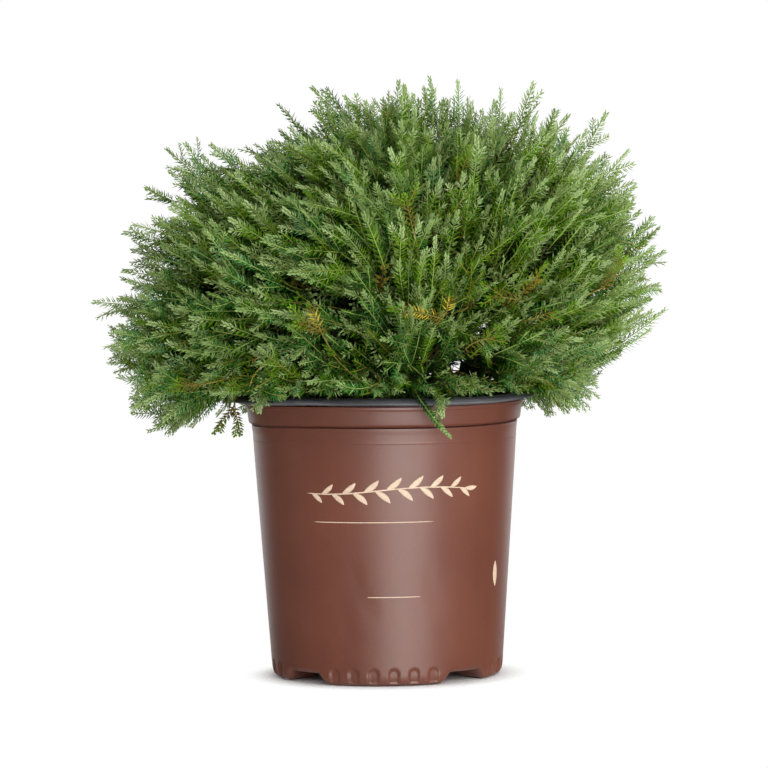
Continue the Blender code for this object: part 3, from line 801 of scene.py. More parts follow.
def sagging(headings):
    # a bough leaves the fork, sags in the middle the more level it runs, and ends where its mass begins
    flat = np.hypot(headings[:, 0], headings[:, 1])[:, None]
    start = fork + (crown["forkRadius"] - 0.002) * headings
    end = fork + crown["boughEnd"] * headings
    middle = (start + end) / 2 - 2 * crown["boughSag"] * flat * np.array((0, 0, 1.0))
    return np.stack((start, middle, end), 1)


barkFinish = bark("bark", (62, 42, 28), (128, 94, 64))
# painted shade: a darker, greener copy of the bark for the limbs inside the crown
limbShadedFinish = bark("limbBarkShaded", (42, 36, 18), (86, 72, 38))
massNames, massHeadings = massDirections()
massReach = reach(massHeadings)
upward = np.array((0.0, 0.0, 1.0))


def guideFor(curves):
    # a direction that is never near the curve's own
    steep = np.abs(unit(curves[:, 2] - curves[:, 0])[:, 2:]) > 0.9
    return np.where(steep, np.array((1.0, 0.0, 0.0)), upward)


def buildBoughs():
    # a tube from the fork to each mass, with bark strips
    curves = sagging(massHeadings)
    many = np.ones(len(curves))
    points, quads, caps = tubes(curves, guideFor(curves), crown["boughRadius"] * many,
                                crown["boughTip"] * many, 28, 14, barkRelief)
    piece = putMesh("boughBark", points, (quads, caps), (barkFinish,), "bark")
    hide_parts(*nodesOf(massNames, "bough"))


buildTrunk()
buildBoughs()
print("trunk and boughs grown")

# Sprays: a leading shoot with side shoots, every shoot clothed in awl-shaped needles
growth = {
    "sprays": 5000, "limbs": 250, "scatter": 0.012, "swing": 0.17, "shift": 0.003, "furthest": 0.12,
    # three layers from the outside in: their share of the sprays, and how far out their tips are
    "layers": (0.34, 0.36, 0.30), "layerFrom": (0.915, 0.86, 0.72), "layerTo": (0.992, 0.930, 0.86),
    "standing": 0.15, "standOut": 0.080,    # share of tips that stand out further, and how far
    "clumpRate": 16.0, "clumpReach": 0.024, "sweepRate": 9.0, "sweep": 0.13,
    "length": (0.046, 0.066), "sideShoots": (0, 3), "sideFrom": 0.38, "sideTo": 0.76,
    "sideLength": (0.014, 0.026), "sideAngle": (28.0, 46.0), "sideShorten": (1.12, 0.35), "sideLift": 0.35,
    "sideBend": 0.55, "hangingSide": 0.60, "sideOver": (0.002, 0.001),
    "leaning": (0.65, 1.0), "lowLeaning": 0.8, "lowSwing": 0.40, "lowFrom": 0.32, "lowWhole": 0.08,
    "droop": 0.9, "droopBelow": 0.10, "droopOver": 0.25, "droopRight": 0.2, "droopLeft": 0.55,
    "rising": (0.75, 0.45, 0.10),    # the foot's half: shares of the tip's course and of its heading, swing
    "sprayOver": (0.006, 0.003), "apronOver": (0.004, 0.004),    # foot and knee stay this far over the hem
    # short shoots over the soil
    "apron": 130, "apronOut": (0.060, 0.112), "apronHeight": (0.2300, 0.2470), "apronLength": (0.028, 0.042),
    "apronSwing": 0.45, "apronRise": 0.25, "apronSink": 0.2,
    "needleLength": 0.0072, "needleWidth": 0.00106, "needleThick": 0.00050, "belly": 0.24, "inward": 12.0,
    "spacing": (0.00087, 0.00108, 0.0020), "rank": 144.0, "flatten": (0.36, 0.50),
    "openBase": 56.0, "openTip": 25.0, "tipFrom": 0.75, "tipWhole": 0.90, "tipWider": 0.45, "tipBelly": 0.28,
    "tipLength": 0.52, "crowding": 1.12, "keel": 0.25, "innerSide": -0.15, "needleFoot": 0.0003,
    "sideNeedle": 0.88, "coarseNeedle": 1.20, "coarseWidth": 1.5,    # on side shoots, in the deepest layer
    "stemRadius": (0.00052, 0.00046), "sideStem": 0.8,
    "twigSpacing": 0.0025, "twigNeedle": 0.0100, "twigNeedleWidth": 0.0026,
    "limbSpacing": 0.0020, "limbNeedle": 0.0245, "limbNeedleWidth": 0.0100,
    "limbRadius": (0.0015, 0.0010), "twigRadius": (0.0009, 0.0007),
    "limbOver": 0.010, "limbNeedleOver": 0.006, "stemMiddle": (0.5, 0.30), "stemTo": 0.70,
    "limbFrom": (0.0, 0.75), "limbTo": (0.70, 0.80), "limbBend": 0.18,
    "twigAhead": (1.6, 0.6), "twigBow": 0.35,    # joints that point to the foot count as nearer; the bow
    "twigBare": 0.15, "limbBare": 0.2, "nearOutside": 0.5,
    # old needles on twigs: rust is their own colour, the shade and deep tones are painted shade
    "oldAndShadeTones": ("shade", "deep", "rust"), "oldAndShadeShares": (0.42, 0.35, 0.23),
    # painted shade on sprays that face the viewer: their share and how soon; the place on a shoot from where
    # their tips are a tone darker
    "shadedTips": (0.92, 1.15), "shadedTipsFrom": 0.62,
    "paintedLight": (0.62, 0.50, 1.5, 0.3),    # painted light on low ones at both sides: share, height, how soon, from where
    # across, height, half width and half height of gaps that show sky, at the fork's depth
    "skyGaps": ((0.0614, 0.2532, 0.0062, 0.0046), (0.0378, 0.2488, 0.0026, 0.0024),
                (0.0890, 0.2452, 0.0042, 0.0024), (0.1872, 0.3185, 0.0040, 0.0010),
                (0.1523, 0.2945, 0.0024, 0.0010)),
    # how far the viewer is, how much a sight line falls on the way in, and the gaps' margins
    "eyeDistance": 3.6, "eyeSlope": 0.0523,
    "sprayMargin": 0.0015, "limbMargin": 0.001, "needleMargin": -0.0010,
    # golden and rusty shoots: across and height of the foot, then of the tip
    "accentReach": 0.968, "brightest": (0, 1, 3), "accentBulge": (0, -0.004, 0.003),
    "accents": ((0.0474, 0.3028, 0.0050, 0.3114), (-0.0475, 0.2918, -0.0585, 0.3153),
                (-0.0491, 0.2942, -0.0695, 0.3004), (0.0489, 0.3059, 0.0529, 0.3208),
                (0.1078, 0.3160, 0.0807, 0.3192), (0.0670, 0.2823, 0.0905, 0.2878),
                (-0.1459, 0.2504, -0.1727, 0.2455), (0.1748, 0.3225, 0.1944, 0.3471),
                (0.1197, 0.3016, 0.1365, 0.3064), (0.0238, 0.3742, 0.0176, 0.4000)),
    # the few sprigs that hang over the rim: side shoots, sort, needle sizes; then foot, knee and tip of each
    "hangingShoots": (0, 2, 3, 1, 1), "hangingSorts": ("dark", "grey", "grey", "spent", "spent"),
    "hangingLength": (0.62, 0.80, 0.90, 0.74, 0.74), "hangingWidth": (1.3, 1.2, 1.1, 1.6, 1.6),
    "hanging": (((0.0215, -0.1120, 0.2480), (0.0310, -0.1430, 0.2285), (0.0526, -0.1150, 0.2040)),
                ((0.0385, -0.1060, 0.2470), (0.0440, -0.1340, 0.2420), (0.0470, -0.1190, 0.2205)),
                ((-0.0930, -0.0650, 0.2470), (-0.0980, -0.0920, 0.2450), (-0.1015, -0.0860, 0.2245)),
                ((-0.1240, -0.0220, 0.2235), (-0.1310, -0.0220, 0.2185), (-0.1410, -0.0220, 0.2035)),
                ((-0.1240, -0.0240, 0.2235), (-0.1210, -0.0240, 0.2150), (-0.1190, -0.0240, 0.2020))),
}
# the needles' tones; shade, the darkest, is a painted shade for the depths of the crown
tones = {
    "deep": (34, 63, 6), "leaf": (66, 102, 14), "leafLight": (98, 132, 38), "blue": (56, 105, 44),
    "bluePale": (100, 144, 92), "blueDeep": (28, 66, 20), "olive": (82, 106, 10), "lime": (108, 136, 14),
    "tipPale": (137, 158, 106), "tipGrey": (112, 135, 81), "gold": (160, 138, 48), "rust": (90, 80, 28),
    "shade": (16, 28, 4), "tipDeep": (80, 108, 52),
}
toneNames = list(tones)
# for each sort of spray: tones from the foot of a shoot to its tip, and its share of the crown
sorts = {
    "green": (("olive", "leaf", "leafLight", "tipPale"), 0.30),
    "blue": (("leaf", "blue", "bluePale", "tipPale"), 0.20),
    "dark": (("deep", "blueDeep", "blue", "tipGrey"), 0.19),
    "yellow": (("lime", "olive", "leafLight", "tipPale"), 0.14),
    "grey": (("leaf", "leafLight", "tipGrey", "tipPale"), 0.13),
    "golden": (("rust", "gold", "gold", "leafLight"), 0.003),
    "rusty": (("rust", "rust", "olive", "leafLight"), 0.008),
    "amber": (("rust", "olive", "leaf", "leafLight"), 0.060),
    "spent": (("rust", "rust", "olive", "olive"), 0.0),
}
# each tone's next darker tone, which needles in painted shade take
darkerOf = {"deep": "shade", "leaf": "deep", "leafLight": "leaf", "blue": "blueDeep", "bluePale": "blue",
            "blueDeep": "shade", "olive": "deep", "lime": "olive", "tipPale": "tipGrey", "tipGrey": "tipDeep",
            "tipDeep": "leaf", "gold": "rust", "rust": "shade", "shade": "shade"}
darker = np.array([toneNames.index(darkerOf[name]) for name in toneNames])
sortTones = np.array([[toneNames.index(tone) for tone in entry[0]] for entry in sorts.values()])
sortShares = np.array([entry[1] for entry in sorts.values()])
sortAt = {name: index for index, name in enumerate(sorts)}    # the brown sorts come last, from golden on


def shootTo(tips, ahead, rising, length, over):
    # foot, knee and tip: half the length back along ahead, half along rising, both kept over the hem
    knee = tips - 0.5 * length * ahead
    foot = knee - 0.5 * length * rising
    return np.stack((lifted(foot, over[0]), lifted(knee, over[1]), tips), 1)


def growSprays():
    # leading shoots: tips on the crown's reach, feet back along the lean
    rng = np.random.default_rng(crown["seed"] + 20)
    aims = spiral(growth["sprays"])
    aims = unit(aims + rng.normal(0, growth["scatter"], aims.shape))
    count = len(aims)
    layer = rng.choice(3, count, p=growth["layers"])
    start, stop = np.array(growth["layerFrom"])[layer], np.array(growth["layerTo"])[layer]
    standing = growth["standOut"] * (1 - 0.8 * aims[:, 1] ** 2)
    far = start + (stop - start) * rng.random(count) + standing * (rng.random(count) < growth["standing"])
    far += growth["clumpReach"] * drift(aims, 41, growth["clumpRate"])
    far = np.minimum(far, 1.0 + growth["furthest"] * (1 - aims[:, 1] ** 2))
    tips = fork + (reach(aims) * bumpy(aims) * far)[:, None] * aims
    tips[:, 0] += growth["shift"]
    # the lowest point straight out, so that the viewer sees them end on
    low = 1 - ease((aims[:, 2] - growth["lowWhole"]) / (growth["lowFrom"] - growth["lowWhole"]))
    share = (between(rng, growth["leaning"], count) * (1 - growth["lowLeaning"] * low))[:, None]
    swing = growth["swing"] + (growth["lowSwing"] - growth["swing"]) * low
    ahead = share * leanOf(aims) + (1 - share) * aims + swing[:, None] * rng.normal(0, 1, (count, 3))
    ahead += growth["sweep"] * np.stack([drift(aims, seed, growth["sweepRate"]) for seed in (42, 43, 44)], -1)
    droop = np.clip((growth["droopBelow"] - aims[:, 2]) / growth["droopOver"], 0, 1)
    droop = droop * np.where(aims[:, 0] > growth["droopRight"], 1.0, growth["droopLeft"])
    ahead[:, 2] -= growth["droop"] * droop
    ahead = unit(ahead)
    length = between(rng, growth["length"], count)[:, None]
    along, outward, loose = growth["rising"]
    rising = unit(along * ahead + outward * aims + rng.normal(0, loose, (count, 3)))
    curves = shootTo(tips, ahead, rising, length, growth["sprayOver"])
    kept = (tips[:, 2] >= floorOf(tips) - 0.001) & outOfSight(curves, growth["sprayMargin"])
    return curves[kept], layer[kept]


def outOfSight(curves, over):
    # true for curves that leave the sight lines of the sky gaps free
    t = np.tile(np.linspace(0, 1, 6), (len(curves), 1))
    return sightFree(alongCurve(curves, t)[0], over)


def sightFree(marks, over):
    # the same for rows of points: moved along the sight line to the fork's depth, outside each gap's ellipse
    free = np.ones(len(marks), bool)
    for across, level, wide, tall in growth["skyGaps"]:
        aside = marks[..., 0] / (1 + marks[..., 1] / growth["eyeDistance"]) - across
        above = marks[..., 2] + growth["eyeSlope"] * marks[..., 1] - level
        free &= (np.hypot(aside / (wide + over), above / (tall + over)) > 1).all(1)
    return free


def growApron():
    # short shoots that lie over the soil, inside the rim
    rng = np.random.default_rng(crown["seed"] + 25)
    count = growth["apron"]
    turn, out = rng.uniform(0, 2 * np.pi, count), between(rng, growth["apronOut"], count)
    outward = roundAbout(1.0, turn, 0.0)
    tips = outward * out[:, None] + upward * between(rng, growth["apronHeight"], count)[:, None]
    ahead = unit(outward + rng.normal(0, growth["apronSwing"], (count, 3)) + growth["apronRise"] * upward)
    length = between(rng, growth["apronLength"], count)[:, None]
    rising = unit(ahead - growth["apronSink"] * upward)
    return shootTo(tips, ahead, rising, length, growth["apronOver"]), np.ones(count, int)


def growAccents():
    # golden shoots by their place at the front: foot and tip (across, height), on the crown's reach
    rows = np.array(growth["accents"])
    across, height = rows[:, (0, 2)], rows[:, (1, 3)]
    depth = np.full_like(across, -0.2)
    for _ in range(4):
        point = np.stack((across, depth, height), -1) - fork
        size = np.linalg.norm(point, axis=-1)
        depth = depth * growth["accentReach"] * reach(point / size[..., None]) / size
    ends = np.stack((across, depth, height), -1)
    middle = ends.mean(1) + np.array(growth["accentBulge"])
    return np.stack((ends[:, 0], middle, ends[:, 1]), 1), np.zeros(len(rows), int)


def lifted(points, over):
    # raised where they would hang under the skirt or lie in the rim
    return np.stack((points[:, 0], points[:, 1], np.maximum(points[:, 2], floorOf(points) + over)), 1)


def sideShoots(leaders, guides, layer):
    # shoots at a slant from a leader, bending back towards its course
    rng = np.random.default_rng(crown["seed"] + 21)
    counts = rng.integers(*growth["sideShoots"], len(leaders))
    counts = np.where(layer == 2, np.minimum(counts, 2), counts)
    counts[-len(growth["hanging"]):] = growth["hangingShoots"]
    owner, local = dealtOut(counts)
    share = (local + rng.uniform(0.2, 0.8, len(owner))) / counts[owner]
    t = growth["sideFrom"] + (growth["sideTo"] - growth["sideFrom"]) * share
    start, along = alongCurve(leaders[owner], t[:, None])
    start, along = start[:, 0], along[:, 0]
    side, up = frames(along, guides[owner])
    hand = np.where((local + owner) % 2, 1.0, -1.0)[:, None]
    angle = np.radians(between(rng, growth["sideAngle"], len(owner)))[:, None]
    aside = hand * side + rng.normal(0, growth["sideLift"], (len(owner), 1)) * up
    out = unit(np.cos(angle) * along + np.sin(angle) * aside)
    longest, less = growth["sideShorten"]
    length = (between(rng, growth["sideLength"], len(owner)) * (longest - less * share))[:, None]
    hung = (owner >= len(leaders) - len(growth["hanging"]))[:, None]
    length = length * np.where(hung, growth["hangingSide"], 1.0)
    knee = start + 0.5 * length * out
    end = knee + 0.5 * length * unit(out + growth["sideBend"] * along)
    kneeOver, endOver = growth["sideOver"]
    knee, end = np.where(hung, knee, lifted(knee, kneeOver)), np.where(hung, end, lifted(end, endOver))
    return np.stack((start, knee, end), 1), owner


def needleArrays(curves, guides, lengths, spacing, needle, width, rng, fromShare=0.0):
    # needles set round a shoot a rank angle apart; each a slim closed wedge of four faces: a ridge from
    # foot to point on top, and beneath it two side corners, a quarter of the way along or, at tips, half
    counts = np.maximum(4, np.round(lengths * (1 - fromShare) / spacing)).astype(int)
    owner, local = dealtOut(counts)
    many = len(owner)
    u = (local + rng.uniform(0.35, 0.65, many)) / counts[owner]
    s = fromShare + (1 - fromShare) * (1 - (1 - u) ** growth["crowding"])
    middle, ahead = alongCurve(curves[owner], s[:, None])
    middle, ahead = middle[:, 0], ahead[:, 0]
    side, up = frames(ahead, guides[owner])
    turn = np.radians(growth["rank"]) * local + 2.4 * owner + rng.normal(0, 0.09, many)
    # gathered more or less to the two sides, like a comb
    turn = turn - between(rng, growth["flatten"], len(curves))[owner] * np.sin(2 * turn)
    radial = np.cos(turn)[:, None] * side + np.sin(turn)[:, None] * up
    late = ease((s - growth["tipFrom"]) / (growth["tipWhole"] - growth["tipFrom"]))
    opening = growth["openBase"] * (1 - late) + growth["openTip"] * late + rng.normal(0, 3.0, many)
    course, outset = (np.cos(angle)[:, None] * ahead + np.sin(angle)[:, None] * radial
                      for angle in (np.radians(opening), np.radians(opening) + np.radians(growth["inward"])))
    size = needle[owner] * (1 - (1 - growth["tipLength"]) * late) * rng.uniform(0.92, 1.07, many)
    size = size[:, None]
    # flat side to the guide, so that a comb shows its needles
    facing = up + growth["keel"] * radial
    ridge = unit(facing - (facing * course).sum(1, keepdims=True) * course)
    across = np.cross(ridge, course)
    foot = middle + growth["needleFoot"] * radial
    widest = (growth["belly"] + growth["tipBelly"] * late)[:, None]
    top = 0.5 * growth["needleThick"] * ridge
    belly = foot + widest * size * outset - top
    half = (0.5 * width[owner] * (1 + growth["tipWider"] * late))[:, None] * across
    points = np.stack((foot + top, belly - half, belly + half, foot + size * course + 0.5 * top), 1)
    inner = (radial * guides[owner]).sum(1) < growth["innerSide"]
    return points.reshape(-1, 3), owner, s, inner


needleFaces = np.array(((0, 1, 3), (0, 3, 2), (0, 2, 1), (3, 1, 2)))


def dealTones(sort, s, paintedShade, rng):
    # a needle's tone by its place on the shoot, blurred a little, from its spray's sort;
    # needles in painted shade take the tone below
    step = np.clip(s * 3.6 - 0.25 + rng.normal(0, 0.14, len(s)), 0, 3).round().astype(int)
    tone = sortTones[sort, step]
    return np.where(paintedShade, darker[tone], tone)


# origins: 0 sprays, 1 apron, 2 golden and rusty ones, 3 those that hang over the rim
hangingCurves = np.array(growth["hanging"], float)
sets = (growSprays(), growApron(), growAccents(), (hangingCurves, np.zeros(len(hangingCurves), int)))
leaders, layers = (np.concatenate(each) for each in zip(*sets))
origins = np.repeat(np.arange(4), [len(entry[0]) for entry in sets])
aims = unit(leaders[:, 2] - fork)
print("sprays:", len(leaders))
sprayGuides = unit(aims + np.random.default_rng(5).normal(0, 0.35, aims.shape))
sprayGuides[origins == 3] = (0.0, -1.0, 0.0)    # the hanging ones show their flat side
sides, sideOwners = sideShoots(leaders, sprayGuides, layers)
owningMass = (aims @ massHeadings.T).argmax(1)


def pickSorts():
    # bluer low at the front, with more dark sprays there as painted shade; yellower inside and low at the
    # left, where fewer dark sprays are a painted lightening; greyer at the right
    rng = np.random.default_rng(31)
    weight = np.tile(sortShares, (len(aims), 1))
    low, inside = np.clip(1 - aims[:, 2] / 0.45, 0, 1), layers > 0
    right, lowLeft = np.clip(aims[:, 0], 0, 1), low * np.clip(-aims[:, 0], 0, 1)
    weight[:, sortAt["blue"]] *= 0.6 + 2.2 * low
    weight[:, sortAt["yellow"]] *= 0.7 + 0.9 * inside
    # painted shade: more dark sprays low at the front, and fewer of them at the right
    weight[:, sortAt["dark"]] *= (1 + 1.7 * low * np.clip(-1.3 * aims[:, 1], 0, 1)) * (1 - 0.8 * right)
    weight[:, sortAt["grey"]] *= 1 + 1.4 * right
    weight[:, sortAt["yellow"]] *= 1 + 2.4 * lowLeft
    # painted light: fewer dark sprays low at the left
    weight[:, sortAt["dark"]] *= 1 - 0.7 * lowLeft
    weight[:, sortAt["golden"]:] *= ((0.3 + 1.6 * low * inside) * (1 + 1.6 * lowLeft))[:, None]
    weight = np.cumsum(weight / weight.sum(1, keepdims=True), 1)
    dealt = (rng.random((len(aims), 1)) > weight).sum(1)
    dealt = np.where(origins == 2, sortAt["rusty"], dealt)
    dealt[np.flatnonzero(origins == 2)[list(growth["brightest"])]] = sortAt["golden"]
    dealt[origins == 3] = [sortAt[name] for name in growth["hangingSorts"]]
    return dealt


spraySorts = pickSorts()
# painted shade: most sprays that face the viewer are a tone darker at their tips
most, rate = growth["shadedTips"]
shadedTips = np.random.default_rng(33).random(len(aims)) < most * np.clip(-rate * aims[:, 1], 0, 1) ** 2
shadedTips &= origins < 3
# and painted light: many low at both sides are a tone lighter
most, height, rate, start = growth["paintedLight"]
paintedLight = np.clip(1 - aims[:, 2] / height, 0, 1) * np.clip(rate * np.abs(aims[:, 0]) - start, 0, 1)
paintedLight = np.random.default_rng(34).random(len(aims)) < most * paintedLight


def growTwigs():
    # limbs run from a mass's stem towards spread directions; each spray's foot joins the nearest limb
    rng = np.random.default_rng(crown["seed"] + 22)
    endShare, reachShare = growth["stemMiddle"]
    distances = (crown["boughEnd"] + 0 * massReach, endShare * crown["boughEnd"] + reachShare * massReach,
                 growth["stemTo"] * massReach)
    stems = np.stack([fork + distance[:, None] * massHeadings for distance in distances], 1)
    limbAims = spiral(growth["limbs"])
    owner = (limbAims @ massHeadings.T).argmax(1)
    share = between(rng, growth["limbFrom"], len(limbAims))
    start = alongCurve(stems[owner], share[:, None])[0][:, 0]
    end = fork + (reach(limbAims) * between(rng, growth["limbTo"], len(limbAims)))[:, None] * limbAims
    end[:, 2] = np.maximum(end[:, 2], floorOf(end) + growth["limbOver"])
    span = np.linalg.norm(end - start, axis=1)[:, None]
    limbs = np.stack((start, (start + end) / 2 + growth["limbBend"] * span * massHeadings[owner], end), 1)
    limbs = limbs[outOfSight(limbs, growth["limbMargin"])]
    joints, courses = alongCurve(limbs, np.tile(np.linspace(0.25, 1.0, 7), (len(limbs), 1)))
    joints, courses = joints.reshape(-1, 3), courses.reshape(-1, 3)
    feet = leaders[:, 0]
    apart = feet[:, None] - joints[None]
    distance = np.linalg.norm(apart, axis=2)
    forward = (apart * courses[None]).sum(2) / np.maximum(distance, 1e-6)
    plainCost, gain = growth["twigAhead"]
    best = (distance * (plainCost - gain * forward)).argmin(1)
    apartBy = distance[np.arange(len(feet)), best][:, None]
    courseIn = unit(leaders[:, 1] - leaders[:, 0])
    bow = growth["twigBow"] * apartBy
    middle = 0.5 * (joints[best] + bow * courses[best]) + 0.5 * (feet - bow * courseIn)
    return stems, limbs, np.stack((joints[best], middle, feet + 0.002 * courseIn), 1), apartBy[:, 0]


stems, limbs, twigs, twigLengths = growTwigs()
limbMass = (unit(limbs[:, 2] - fork) @ massHeadings.T).argmax(1)

# Needles, shoots and twigs are gathered by groups of masses, so that every piece stays light
groups = (("SkirtRight", ("skirt_01", "skirt_02", "skirt_09")), ("SkirtBack", ("skirt_03", "skirt_04")),
          ("SkirtLeft", ("skirt_05", "skirt_06")), ("SkirtFront", ("skirt_07", "skirt_08")),
          ("MiddleRight", ("middle_01", "middle_02", "middle_07")),
          ("MiddleLeft", ("middle_03", "middle_04")),
          ("MiddleFront", ("middle_05", "middle_06")),
          ("Crest", ("upper_01", "upper_02", "upper_03", "upper_04", "top_01")))
needleFinishes = [plain("needle" + name[0].upper() + name[1:], tones[name], 0.60, 0.12) for name in toneNames]
twigTones = (("twigGreen", (124, 146, 70)), ("twigGold", (116, 106, 40)), ("twigBrown", (58, 42, 20)),
             ("twigOlive", (108, 116, 48)))
twigFinishes = [plain(name, tone, 0.6) for name, tone in twigTones]


def hangingFactor(name):
    # 1 for every spray but the hanging ones, which come last
    return np.concatenate((np.ones(len(leaders) - len(growth[name])), growth[name]))


def clotheShoots(curves, owners, isSide, rng):
    # needles of leading and side shoots; painted shade puts a tone down on a shoot's inner side, in the
    # deeper layers and at the tips of sprays that face the viewer, and painted light takes it off many low at
    # both sides
    coarse = layers[owners] == 2
    lengths = sum(np.linalg.norm(curves[:, end] - curves[:, end - 1], axis=1) for end in (1, 2))
    needle = growth["needleLength"] * np.where(isSide, growth["sideNeedle"], 1.0)
    needle = needle * np.where(coarse, growth["coarseNeedle"], 1.0) * hangingFactor("hangingLength")[owners]
    width = growth["needleWidth"] * np.where(coarse, growth["coarseWidth"], 1.0)
    width = width * hangingFactor("hangingWidth")[owners]
    points, shoot, s, inner = needleArrays(curves, sprayGuides[owners], lengths,
                                           np.array(growth["spacing"])[layers[owners]], needle, width, rng)
    spray, chance = owners[shoot], rng.random(len(shoot))
    place = np.where(isSide[shoot], 0.35 + 0.65 * s, s)
    # painted shade: on the inner side, on most of the middle layer and more often near the foot, and on all
    # of the innermost layer
    paintedShade = inner | ((layers[spray] > 0) & (chance < 1.25 - 0.4 * s)) | (layers[spray] > 1)
    paintedShade |= shadedTips[spray] & (place > growth["shadedTipsFrom"])
    # painted light: many low at the sides keep their own tone
    paintedShade &= ~(paintedLight[spray] & (chance < 0.8) & (place < 0.85))
    return points, dealTones(spraySorts[spray], place, paintedShade, rng)


def clotheTwigs(mine, rng):
    # old needles on each spray's twig, smaller where the twig comes near the crown's outside; their tones are
    # rust of their own and dark ones of painted shade
    curves = twigs[mine]
    small = np.where(origins[mine] >= 2, growth["nearOutside"], 1.0)
    points, twig, _, _ = needleArrays(
        curves, guideFor(curves), twigLengths[mine], growth["twigSpacing"], growth["twigNeedle"] * small,
        growth["twigNeedleWidth"] * small, rng, growth["twigBare"])
    oldAndShade = [toneNames.index(name) for name in growth["oldAndShadeTones"]]
    return points, rng.choice(oldAndShade, len(curves), p=growth["oldAndShadeShares"])[twig]


def clotheLimbs(masses, rng):
    # the largest needles, deep inside on limbs and stems, all in the shade tone: a dark fill of painted shade
    # for the crown's depths
    curves = np.concatenate((limbs[np.isin(limbMass, masses)], stems[masses]))
    many = np.ones(len(curves))
    lengths = np.linalg.norm(curves[:, 2] - curves[:, 0], axis=1)
    points, _, _, _ = needleArrays(
        curves, guideFor(curves), lengths, growth["limbSpacing"], growth["limbNeedle"] * many,
        growth["limbNeedleWidth"] * many, rng, growth["limbBare"])
    above = points[3::4, 2] > floorOf(points[3::4]) + growth["limbNeedleOver"]
    return points[np.repeat(above, 4)], np.full(above.sum(), toneNames.index("shade"))


def buildNeedles(label, nodes, clothed):
    # one piece of all the needles that leave the sky gaps free
    points, picks = (np.concatenate(each) for each in zip(*clothed))
    foot, tip = points[0::4, None], points[3::4, None]
    free = sightFree(foot + (tip - foot) * np.linspace(0, 1, 7)[None, :, None], growth["needleMargin"])
    points, picks = points[np.repeat(free, 4)], picks[free]
    faces = copied(needleFaces, 4, len(picks))
    piece = putMesh("needles" + label, points, (faces,), needleFinishes, "foliage",
                    np.repeat(picks, 4), False)
    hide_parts(*nodes)
    return len(faces)


def buildTwigs(label, nodes, curves, owners, isSide, mine, rng):
    # stems of shoots, then twigs: tubes of nine quads and two cap triangles each
    green, gold, brown, olive = range(4)    # places in twigTones
    foot, tip = growth["stemRadius"]
    foot, tip = foot * np.where(isSide, growth["sideStem"], 1.0), np.full(len(curves), tip)
    shootPoints, shootQuads, shootCaps = tubes(curves, sprayGuides[owners], foot, tip, 4, 3)
    layer, draw = layers[owners], rng.random(len(curves))
    brownShare = np.array((0.0, 0.15, 0.6))[layer]
    stemPick = np.where(draw < brownShare, brown, np.where(draw < 0.25 + 0.75 * (layer > 0), olive, green))
    stemPick = np.where(spraySorts[owners] >= sortAt["golden"], gold, stemPick)
    foot, tip = (np.full(len(mine), radius) for radius in growth["twigRadius"])
    twigPoints, twigQuads, twigCaps = tubes(twigs[mine], guideFor(twigs[mine]), foot, tip, 4, 3)
    twigPick = rng.choice((green, brown, olive), len(mine), p=(0.08, 0.68, 0.24))
    twigPick = np.where(spraySorts[mine] >= sortAt["golden"], gold, twigPick)
    start = len(shootPoints)
    faceSets = (shootQuads, twigQuads + start, shootCaps, twigCaps + start)
    picks = np.concatenate([np.repeat(pick, each) for each in (9, 2) for pick in (stemPick, twigPick)])
    piece = putMesh("twigs" + label, np.concatenate((shootPoints, twigPoints)), faceSets, twigFinishes,
                    "foliage", picks)
    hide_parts(*nodes)
    return sum(map(len, faceSets))


def buildGroup(index, label, members):
    # two pieces for a group of masses: its needles, and its shoots' stems and twigs
    rng = np.random.default_rng(100 + index)
    masses = [massNames.index(member) for member in members]
    inGroup = np.isin(owningMass, masses)
    mine, sideIndex = np.flatnonzero(inGroup), np.flatnonzero(inGroup[sideOwners])
    curves = np.concatenate((leaders[mine], sides[sideIndex]))
    owners = np.concatenate((mine, sideOwners[sideIndex]))
    isSide = np.arange(len(curves)) >= len(mine)
    nodes = nodesOf(members, "foliage")
    clothed = (clotheShoots(curves, owners, isSide, rng), clotheTwigs(mine, rng), clotheLimbs(masses, rng))
    needleCount = buildNeedles(label, nodes, clothed)
    twigCount = buildTwigs(label, nodes, curves, owners, isSide, mine, rng)
    print(label, "sprays", len(mine), "needle faces", needleCount, "twig faces", twigCount)


for index, (label, members) in enumerate(groups):
    buildGroup(index, label, members)


def buildLimbs():
    # each mass's stem and the limbs that spread from it
    curves = np.concatenate((stems, limbs))
    isStem = np.arange(len(curves)) < len(stems)
    thick, thin = growth["limbRadius"]
    start, end = np.where(isStem, crown["boughTip"], thick), np.where(isStem, thick * 0.8, thin)
    points, quads, caps = tubes(curves, guideFor(curves), start, end, 9, 7, barkRelief)
    piece = putMesh("limbBarkShaded", points, (quads, caps), (limbShadedFinish,), "bark")
    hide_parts(*nodesOf(massNames, "foliage"))


buildLimbs()
print("crown grown")

